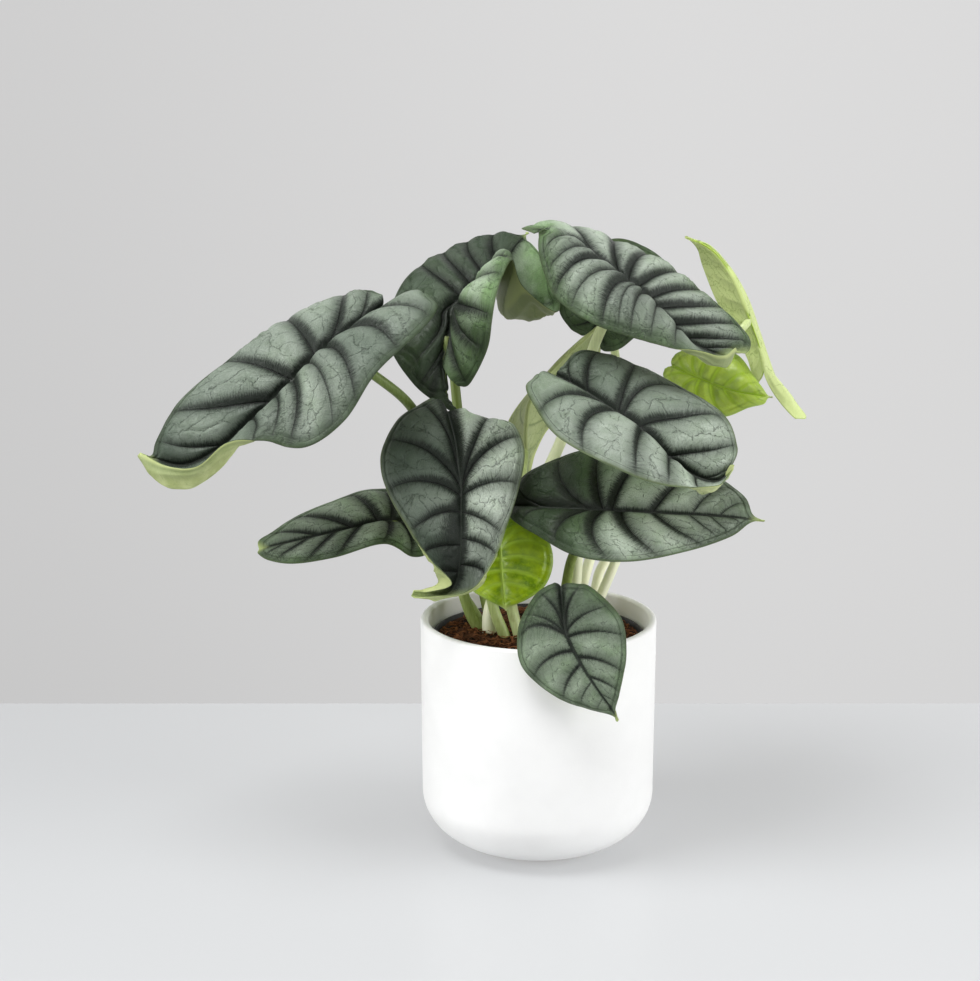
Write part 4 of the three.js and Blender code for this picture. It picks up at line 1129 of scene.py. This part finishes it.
def moulded_plastic():
    m = Nodes("moulded_plastic")
    place = m.place()
    dust = m.noise(place, 130.0, 4.0)
    base = m.mix(m.spread(dust, 0.55, 0.75, 0.0, 0.35), (46, 47, 49), (88, 78, 66))
    m.bump(m.noise(place, 1100.0, 2.0), 0.0001, 0.4)
    return m.finish(base, m.spread(dust, 0.3, 0.7, 0.42, 0.6), 0.45)


def coir_mix():
    m = Nodes("coir_mix")
    place = m.place()
    clump = m.noise(place, 160.0, 5.0, 0.7)
    grit = m.noise(place, 900.0, 4.0, 0.7)
    base = m.mix(m.spread(clump, 0.35, 0.7), (24, 15, 10), (112, 72, 48))
    base = m.mix(m.spread(grit, 0.55, 0.8, 0.0, 0.6), base, (150, 94, 62))
    base = m.mix(m.attribute("tone"), base, (190, 126, 84))
    m.bump(m.math("ADD", clump, m.times(grit, 0.5)), 0.0009, 0.8)
    return m.finish(base, 0.92, 0.15)


def stage_paint(name, paint, rough, specular, left_glow, right_glow, near_glow=0.0):
    """A plain paint with painted light: a glow, though it is no lamp, that changes from left to right and
    grows towards the front.
    """
    m = Nodes(name)
    place = m.place()
    # Painted light: the glow lifts the shade and sets how bright the stage is across it and towards the
    # front.
    across = m.spread(m.part(place, "X"), -0.7, 0.3, left_glow, right_glow)
    nearer = m.spread(m.part(place, "Y"), -0.35, 0.2, near_glow, 0.0)
    m.put(m.shader.inputs["Emission Strength"], m.math("ADD", across, nearer))
    m.put(m.shader.inputs["Emission Color"], (1.0, 1.0, 1.0, 1.0))
    light = list(colour(*paint))
    shade = [0.99 * c for c in light[:3]] + [1.0]
    base = m.mix(m.spread(m.noise(place, 1.5, 2.0), 0.3, 0.7), light, shade)
    return m.finish(base, rough, specular)


SILVER_FACES = [silver_upper(), pale_under()]
YOUNG_FACES = [young_upper(), young_under()]
STALK_SKIN = stalk_skin()
MATT_GLAZE = matt_glaze()
MOULDED_PLASTIC = moulded_plastic()
COIR_MIX = coir_mix()


# Blades
def join_halves(left, right):
    return np.concatenate([left[:, ::-1], right[:, 1:]], axis=1)


def sheet_values(upper, lower, left, right):
    """Values at the points of a closed sheet that ends in a tip, in the order of sheet_faces."""
    faces = []
    for face in (upper, lower):
        faces += [face[:-1].reshape(-1, *face.shape[2:]), face[-1].mean(axis=0)[None]]
    return np.concatenate([*faces, left[:-1], right[:-1]])


def sheet_faces(rows, wide):
    """Quads, triangles and the faces' material numbers of a closed sheet that ends in a tip.

    Its points are the upper face's rows and tip, the under face's rows and tip, and then one
    point for each row on the left rim and on the right rim.
    """
    tip = rows * wide
    below = tip + 1
    end = (rows - 1) * wide
    corner = wide - 1
    left = 2 * below + np.arange(rows)
    right = left + rows
    c = np.arange(corner)
    r = np.arange(rows - 1)
    left_top = r * wide
    right_top = left_top + corner
    upper = grid_faces(rows, wide)
    under = grid_faces(rows, wide, below)[:, ::-1]
    rims = np.concatenate([
        faces_of(left_top, left_top + wide, left[r + 1], left[r]),
        faces_of(left[r], left[r + 1], below + left_top + wide, below + left_top),
        faces_of(right_top + wide, right_top, right[r], right[r + 1]),
        faces_of(right[r + 1], right[r], below + right_top, below + right_top + wide),
        faces_of(c + 1, c, below + c, below + c + 1),
    ])
    upper_tip = faces_of(end + c, end + c + 1, tip)
    under_tip = faces_of(below + end + c + 1, below + end + c, below + tip)
    ends = np.array([
        [0, left[0], below], [end, tip, left[-1]],
        [left[-1], tip, below + end], [tip, below + tip, below + end],
        [corner, below + corner, right[0]], [end + corner, right[-1], tip],
        [right[-1], below + end + corner, tip], [tip, below + end + corner, below + tip],
    ])
    parts = ((upper, 0), (under, 1), (rims, 0), (upper_tip, 0), (under_tip, 1), (ends, 0))
    face_material = np.concatenate([np.full(len(part), number) for part, number in parts])
    quads = np.concatenate([upper, under, rims])
    return quads, np.concatenate([upper_tip, under_tip, ends]), face_material


def blade_tints(leaf, look, share, flat, edge, seed):
    """How lime, green, light and olive a blade is, point by point. Its light is painted light and shade."""
    grown = noise(flat[..., 0], flat[..., 1], 30, seed + 3)
    # Painted light and shade: each half is lighter or darker as it is lit, darker or lighter towards the tip,
    # and darker towards the notch, where the blade also turns greener.
    left_light, right_light = look["light"]
    light = (left_light + right_light) / 2 + (right_light - left_light) / 2 * np.tanh(flat[..., 1] / 3)
    light += 0.2 * grown - look["shade"] * np.clip((share - 0.55) / 0.35, 0, 1)[:, None]
    lobe = look["lobes"] * np.clip((leaf["joint"] + 0.04 - share) / 0.2, 0, 1)[:, None]
    rim = look["rim_green"] * np.exp(-((edge / look["rim_reach"]) ** 2))
    tip = np.clip((share - 1 + look["tip"]) / look["tip"] + 0.3, 0, 1)[:, None]
    return {
        "lime": np.maximum(look["edge"] * np.exp(-((edge / 1.1) ** 2)), tip),
        "green": np.clip(look["green"] + 0.7 * lobe + 0.12 * grown + rim, 0, 1),
        "light": np.clip(light - lobe, 0, 1),
        "olive": np.full_like(edge, look["olive"]),
    }


def blade(leaf, seed):
    """A quilted blade: a silver or young upper face, and a paler under face with raised veins."""
    name = leaf["name"]
    look = {**PLAIN_LOOK, **LOOKS[name]}
    rows, columns = LARGE_NET if name in LARGE_LEAVES else SMALL_NET
    midrib = Curve(leaf["midrib"])
    share, left_net = half_net(leaf, "left", rows, columns)
    right_share, right_net = half_net(leaf, "right", rows, columns)
    left = Half(left_net, share, midrib, -1)
    right = Half(match_rows(right_share, right_net, share), share, midrib, 1)
    net = join_halves(left.net, right.net)
    flat = join_halves(left.flat, right.flat)
    left_fields = half_fields(left, leaf, "left", look)
    right_fields = half_fields(right, leaf, "right", look)
    veins = {key: join_halves(left_fields[key], right_fields[key]) for key in left_fields}
    across = np.gradient(net, axis=1)
    normal = unit(np.cross(across, np.gradient(net, axis=0)))
    normal[-1] = unit(normal[-2].sum(axis=0))
    margins = [nearest(flat.reshape(-1, 2), half.flat[::2, -1])[0] for half in (left, right)]
    edge = np.minimum(*margins).reshape(rows, -1)

    # Relief, which fades out towards the margin and the tip
    inside = np.clip(edge / RELIEF_FADE, 0, 1) * np.clip((1 - share) / 0.1, 0, 1)[:, None]
    height = look["quilt"]
    for depth, size, shift in PUCKERS:
        height = height + depth * noise(flat[..., 0], flat[..., 1], size, seed + shift)
    height = height * (1 - veins["groove"]) * (0.2 + 0.8 * inside)
    submargin = np.exp(-(((edge - SUBMARGIN_IN) / SUBMARGIN_WIDTH) ** 2))
    height -= SUBMARGIN_DEPTH * look["quilt"] * submargin * np.clip(inside * 2, 0, 1)
    height -= height.mean()
    sheet = net + normal * height[..., None]
    raised = np.maximum(
        MIDRIB_RAISED * np.exp(-((flat[..., 1] / MIDRIB_WIDTH) ** 2)),
        VEIN_RAISED * np.exp(-((veins["vein"] / VEIN_WIDTH) ** 2)),
    )
    raised = np.maximum(raised * veins["crease"], THIN_RAISED * veins["thin"]) * inside
    out = np.abs(np.linspace(-1, 1, net.shape[1]))
    thickness = EDGE_THICKNESS + (BLADE_THICKNESS - EDGE_THICKNESS) * (1 - out**4)
    upper = sheet + normal * (thickness / 2)[:, None]
    lower = sheet - normal * (thickness / 2 + raised)[..., None]
    left_rim = sheet[:, 0] - RIM_ROUND * unit(across[:, 0])
    right_rim = sheet[:, -1] + RIM_ROUND * unit(across[:, -1])

    fields = {
        **{key: veins[key] for key in ("dark", "vein", "along", "twig")},
        "crease": veins["crease"] * inside * look["line"],
        "thin": veins["thin"] * look["line"],
        "edge": edge,
        "leaf_mm": flat + [LEAF_SHIFT * seed, 0],
        **blade_tints(leaf, look, share, flat, edge, seed),
    }
    attributes = {}
    for key, value in fields.items():
        values = sheet_values(value, value, value[:, 0], value[:, -1])
        attributes[key] = np.pad(values, ((0, 0), (0, 1))) if values.ndim == 2 else values
    quads, triangles, face_material = sheet_faces(rows - 1, net.shape[1])
    obj = make_mesh(
        name + "_blade", sheet_values(upper, lower, left_rim, right_rim), [quads, triangles],
        YOUNG_FACES if look["young"] else SILVER_FACES, face_material, attributes,
    )
    return attach(obj, "young_blade" if look["young"] else "silver_blade", "blade_" + name)


# Stalks
def stalk(leaf):
    """A smooth tapered stalk from the potting mix to just inside its blade's under face."""
    name = leaf["name"]
    joint = Curve(leaf["midrib"]).at(leaf["joint"])
    curve = Curve([*leaf["stalk"], list(joint)])
    rings = max(40, int(curve.length / STALK_RING_GAP))
    sunk = 0.6 + 0.8 * LOOKS[name]["quilt"]
    share = np.linspace(0, 1 - sunk / curve.length, rings)
    centre = curve.at(share)
    along = curve.direction(share)
    low, high = leaf["stalkRadius"]
    risen = share * curve.length
    swelling = SWELLING * np.exp(-(((risen - SWELLING_RISE) / SWELLING_REACH) ** 2))
    neck = NECK_NARROWING * np.exp(-(((risen[-1] - risen) / NECK_REACH) ** 2))
    radius = (low + (high - low) * share + swelling) * (1 - neck)
    angle = around(STALK_SIDES)
    sheath_edge = SHEATH_EDGE * np.exp(-(((angle - SHEATH_TURN) / SHEATH_WIDTH) ** 2))
    side = np.array([1.0, 0.0, 0.0])
    points = []
    for k in range(rings):
        side = unit(side - side.dot(along[k]) * along[k])
        other = np.cross(along[k], side)
        sheath = math.exp(-((risen[k] / SHEATH_HEIGHT) ** 2)) * sheath_edge
        reach = radius[k] + sheath + STALK_RIDGES * np.cos(5 * angle + 0.04 * k)
        ring = np.outer(np.cos(angle) * reach, side) + np.outer(np.sin(angle) * reach, other)
        points.append(centre[k] + ring)
    coordinates = np.concatenate([*points, centre[:1], centre[-1:]])
    rise = np.concatenate([share.repeat(STALK_SIDES), [0, 1]])
    dark, cream = STALK_LOOKS[name]
    attributes = {
        "rise": rise,
        "dark": dark * np.clip(0.35 + 0.9 * rise, 0, 1),
        "cream": cream * np.clip(1.2 - rise, 0, 1),
    }
    faces = closed_tube(rings, STALK_SIDES)
    obj = make_mesh(name + "_stalk", coordinates, faces, [STALK_SKIN], None, attributes)
    return attach(obj, "leaf_stalk", "stalk_" + name)


# Turned pieces
def turned(name, profile, material, slot_name, node):
    """A piece turned round the vertical axis from a profile that starts and ends on it."""
    angles = around(POT_SIDES)
    rings = [level_ring(r, z, angles) for r, z in profile[1:-1]]
    ends = [[0, 0, profile[0][1]], [0, 0, profile[-1][1]]]
    faces = closed_tube(len(rings), POT_SIDES)
    obj = make_mesh(name, np.concatenate([*rings, ends]), faces, [material])
    return attach(obj, slot_name, node)


def bend(radius, foot, floor, count):
    """The curve from the flat foot up to the pot's straight side."""
    angles = np.linspace(0, np.pi / 2, count)
    return [
        [foot + (radius - foot) * math.sin(a), POT_CURVE_TOP - (POT_CURVE_TOP - floor) * math.cos(a)]
        for a in angles
    ]


def cover_pot():
    half_wall = POT_WALL / 2
    lip = [
        [POT_RADIUS - half_wall + half_wall * math.cos(a), POT_SIDE_TOP + POT_LIP_HEIGHT * math.sin(a)]
        for a in np.linspace(0, np.pi, 13)
    ]
    outside = bend(POT_LOWER_RADIUS, POT_FOOT_RADIUS, 0, 22)
    inside = bend(POT_LOWER_RADIUS - POT_WALL, POT_FOOT_RADIUS, POT_FLOOR, 16)
    sides = [
        [POT_LOWER_RADIUS + (POT_RADIUS - POT_LOWER_RADIUS) * t, POT_CURVE_TOP + POT_SIDE_RISE * t]
        for t in (0.25, 0.5, 0.75)
    ]
    profile = [
        [0, 0], [POT_FOOT_RADIUS - 1, 0], *outside, *sides, *lip, [POT_RADIUS - POT_WALL, POT_MIDDLE_Z],
        *inside[::-1], [0, POT_FLOOR],
    ]
    return turned("cover_pot_glazed", profile, MATT_GLAZE, "pot_ceramic", "cover_pot")


def nursery_pot():
    """A thin pot whose rim has a shallow groove round its outside."""
    base_z = NURSERY_BASE_Z
    floor_z = NURSERY_BASE_Z + NURSERY_WALL
    rim_z = NURSERY_TOP_Z - NURSERY_RIM_HEIGHT
    rim = NURSERY_RIM_RADIUS
    profile = [
        [0, base_z], [NURSERY_BASE_RADIUS - 1, base_z], [NURSERY_BASE_RADIUS, base_z + 1],
        [NURSERY_TOP_RADIUS - 0.2, rim_z - 1], [NURSERY_TOP_RADIUS, rim_z], [rim, rim_z + 0.3],
        [rim, rim_z + 2.6], [rim - 0.3, rim_z + 3], [rim, rim_z + 3.4],
        [rim, NURSERY_TOP_Z - 0.4], [rim - 0.3, NURSERY_TOP_Z],
        [rim - NURSERY_WALL + 0.3, NURSERY_TOP_Z], [rim - NURSERY_WALL, NURSERY_TOP_Z - 0.4],
        [NURSERY_TOP_RADIUS - NURSERY_WALL, rim_z],
        [NURSERY_BASE_RADIUS - NURSERY_WALL, floor_z], [0, floor_z],
    ]
    return turned("nursery_pot_moulded", profile, MOULDED_PLASTIC, "nursery_plastic", "nursery_pot")


# Potting mix
def soil_height(x, y):
    r = np.hypot(x, y) / NURSERY_TOP_RADIUS
    rough = sum(depth * noise(x, y, size, seed) for depth, size, seed in SOIL_BUMPS)
    return SOIL_TOP + SOIL_MOUND * (1 - r**2) + 0.9 * r**4 + rough * np.clip(6 * (1 - r), 0.25, 1)


def potting_mix():
    radius = NURSERY_TOP_RADIUS - NURSERY_WALL - SOIL_GAP
    base = NURSERY_BASE_RADIUS - NURSERY_WALL - SOIL_GAP
    base_z = NURSERY_BASE_Z + 2
    angles = around(SOIL_SIDES)
    spread = np.linspace(0.01, 1, SOIL_RINGS) * radius
    x = np.outer(spread, np.cos(angles))
    y = np.outer(spread, np.sin(angles))
    top = np.stack([x, y, soil_height(x, y)], axis=-1).reshape(-1, 3)
    skirt = [level_ring(radius, SOIL_TOP - 4, angles), level_ring(base, base_z, angles)]
    ends = [[0, 0, soil_height(np.zeros(1), np.zeros(1))[0]], [0, 0, base_z]]
    coordinates = np.concatenate([top, *skirt, ends])
    faces = [part[:, ::-1] for part in closed_tube(SOIL_RINGS + 2, SOIL_SIDES)]
    tone = {"tone": np.zeros(len(coordinates))}
    obj = make_mesh("potting_mix_bed", coordinates, faces, [COIR_MIX], None, tone)
    return attach(obj, "potting_mix", "soil")


def scattered(name, points, faces, tones):
    """One piece of many loose bits of the potting mix."""
    tone = {"tone": np.concatenate(tones)}
    obj = make_mesh(name, np.concatenate(points), [np.concatenate(faces)], [COIR_MIX], None, tone)
    return attach(obj, "potting_mix")


def crumbs():
    """Loose lumps of peat and coir on the potting mix."""
    rng = np.random.default_rng(5)
    golden = (1 + 5**0.5) / 2
    corners = unit(np.array([
        (-1, golden, 0), (1, golden, 0), (-1, -golden, 0), (1, -golden, 0),
        (0, -1, golden), (0, 1, golden), (0, -1, -golden), (0, 1, -golden),
        (golden, 0, -1), (golden, 0, 1), (-golden, 0, -1), (-golden, 0, 1),
    ]))
    sides = np.array([
        (0, 11, 5), (0, 5, 1), (0, 1, 7), (0, 7, 10), (0, 10, 11), (1, 5, 9), (5, 11, 4),
        (11, 10, 2), (10, 7, 6), (7, 1, 8), (3, 9, 4), (3, 4, 2), (3, 2, 6), (3, 6, 8),
        (3, 8, 9), (4, 9, 5), (2, 4, 11), (6, 2, 10), (8, 6, 7), (9, 8, 1),
    ])
    points = []
    faces = []
    tones = []
    for k in range(CRUMB_COUNT):
        r = LOOSE_REACH * math.sqrt(rng.random())
        a = rng.random() * 2 * math.pi
        size = rng.uniform(0.4, 1.0) * rng.uniform(0.8, 1.7) * rng.uniform(0.55, 1.0, 3)
        lump = corners * size * rng.uniform(0.75, 1.2, (12, 1))
        turn = np.linalg.qr(rng.normal(size=(3, 3)))[0]
        x = r * math.cos(a)
        y = r * math.sin(a)
        z = soil_height(np.array([x]), np.array([y]))[0]
        points.append(lump @ turn.T + [x, y, z + 0.25 * size.max()])
        faces.append(sides + 12 * k if np.linalg.det(turn) > 0 else sides[:, ::-1] + 12 * k)
        tones.append(np.full(12, np.clip(rng.normal(0.12, 0.3), 0, 0.9)))
    return scattered("potting_mix_crumbs", points, faces, tones)


def fibres():
    """Thin curved coir fibres that lie on the potting mix."""
    rng = np.random.default_rng(8)
    steps = 7
    sides = 4
    angles = around(sides)
    points = []
    faces = []
    tones = []
    for k in range(FIBRE_COUNT):
        r = FIBRE_REACH * math.sqrt(rng.random())
        a = rng.random() * 2 * math.pi
        heading = rng.random() * 2 * math.pi
        turn = rng.normal(0, 0.35)
        length = rng.uniform(*FIBRE_LENGTH)
        thick = rng.uniform(*FIBRE_RADIUS)
        x = r * math.cos(a)
        y = r * math.sin(a)
        track = []
        for n in range(steps):
            limit = min(1.0, LOOSE_REACH / max(math.hypot(x, y), 1e-6))
            x *= limit
            y *= limit
            track.append([x, y])
            x += math.cos(heading) * length / steps
            y += math.sin(heading) * length / steps
            heading += turn
        track = np.array(track)
        z = soil_height(track[:, 0], track[:, 1]) + 0.5 + rng.uniform(0, 0.9)
        z = np.convolve(np.pad(z, 1, "edge"), [0.3, 0.4, 0.3], "valid")
        z += np.sin(np.linspace(0, np.pi, steps)) * rng.uniform(0, 1.2)
        line = np.column_stack([track, z])
        along = unit(np.gradient(line, axis=0))
        side = unit(np.cross(along, [0, 0, 1.0]))
        up = np.cross(side, along)
        for n in range(steps):
            taper = thick * (1 - 0.6 * abs(2 * n / (steps - 1) - 1))
            ring = np.outer(np.cos(angles), side[n]) + np.outer(np.sin(angles), up[n])
            points.append(line[n] + taper * ring)
        start = k * steps * sides
        end = start + (steps - 1) * sides
        faces.append(grid_faces(steps, sides, start, wrap=True))
        faces.append(np.array([[start + 3, start + 2, start + 1, start], [end, end + 1, end + 2, end + 3]]))
        tones.append(np.full(steps * sides, rng.uniform(0.05, 0.75)))
    return scattered("coir_fibres", points, faces, tones)


# Stage
def plane(name, corners, material):
    obj = make_mesh(name, corners, [np.array([[0, 1, 2, 3]])], [material])
    return obj


def stage():
    # Both glows are painted light.
    table = stage_paint("table_paint", (150, 152, 154), 0.3, 0.35, 0.205, 0.303, 0.06)
    wall = stage_paint("wall_paint", (120, 119, 119), 0.9, 0.1, 0.457, 0.548)
    level = ((-1, TABLE_FRONT), (1, TABLE_FRONT), (1, TABLE_BACK), (-1, TABLE_BACK))
    upright = ((-1, WALL_LOW), (1, WALL_LOW), (1, WALL_HIGH), (-1, WALL_HIGH))
    plane("table", [[side * TABLE_HALF_WIDTH, y, 0] for side, y in level], table)
    plane("wall", [[side * WALL_HALF_WIDTH, WALL_BACK, z] for side, z in upright], wall)


# Light and camera
def aim(obj, place, target):
    obj.location = place
    obj.rotation_euler = (Vector(target) - Vector(place)).to_track_quat("-Z", "Y").to_euler()
    bpy.context.scene.collection.objects.link(obj)


def lights():
    for name, place, target, size, power in SOFT_BOXES:
        data = bpy.data.lights.new(name, "AREA")
        data.shape = "RECTANGLE"
        data.size, data.size_y = size
        data.energy = power
        aim(bpy.data.objects.new(name, data), place, target)
    world = bpy.data.worlds.new("studio")
    world.use_nodes = True
    background = world.node_tree.nodes["Background"]
    background.inputs["Color"].default_value = (1.0, 1.0, 1.0, 1.0)
    background.inputs["Strength"].default_value = WORLD_STRENGTH
    bpy.context.scene.world = world
    bpy.context.scene.view_settings.view_transform = "Standard"


def camera():
    data = bpy.data.cameras.new("camera")
    data.lens = CAMERA_LENS
    obj = bpy.data.objects.new("camera", data)
    aim(obj, Vector(CAMERA_PLACE) * MM, Vector(CAMERA_TARGET) * MM)
    bpy.context.scene.camera = obj


camera()
stage()
lights()
cover_pot()
nursery_pot()
potting_mix()
crumbs()
fibres()
for number, leaf in enumerate(LEAVES):
    blade(leaf, number + 1)
    stalk(leaf)
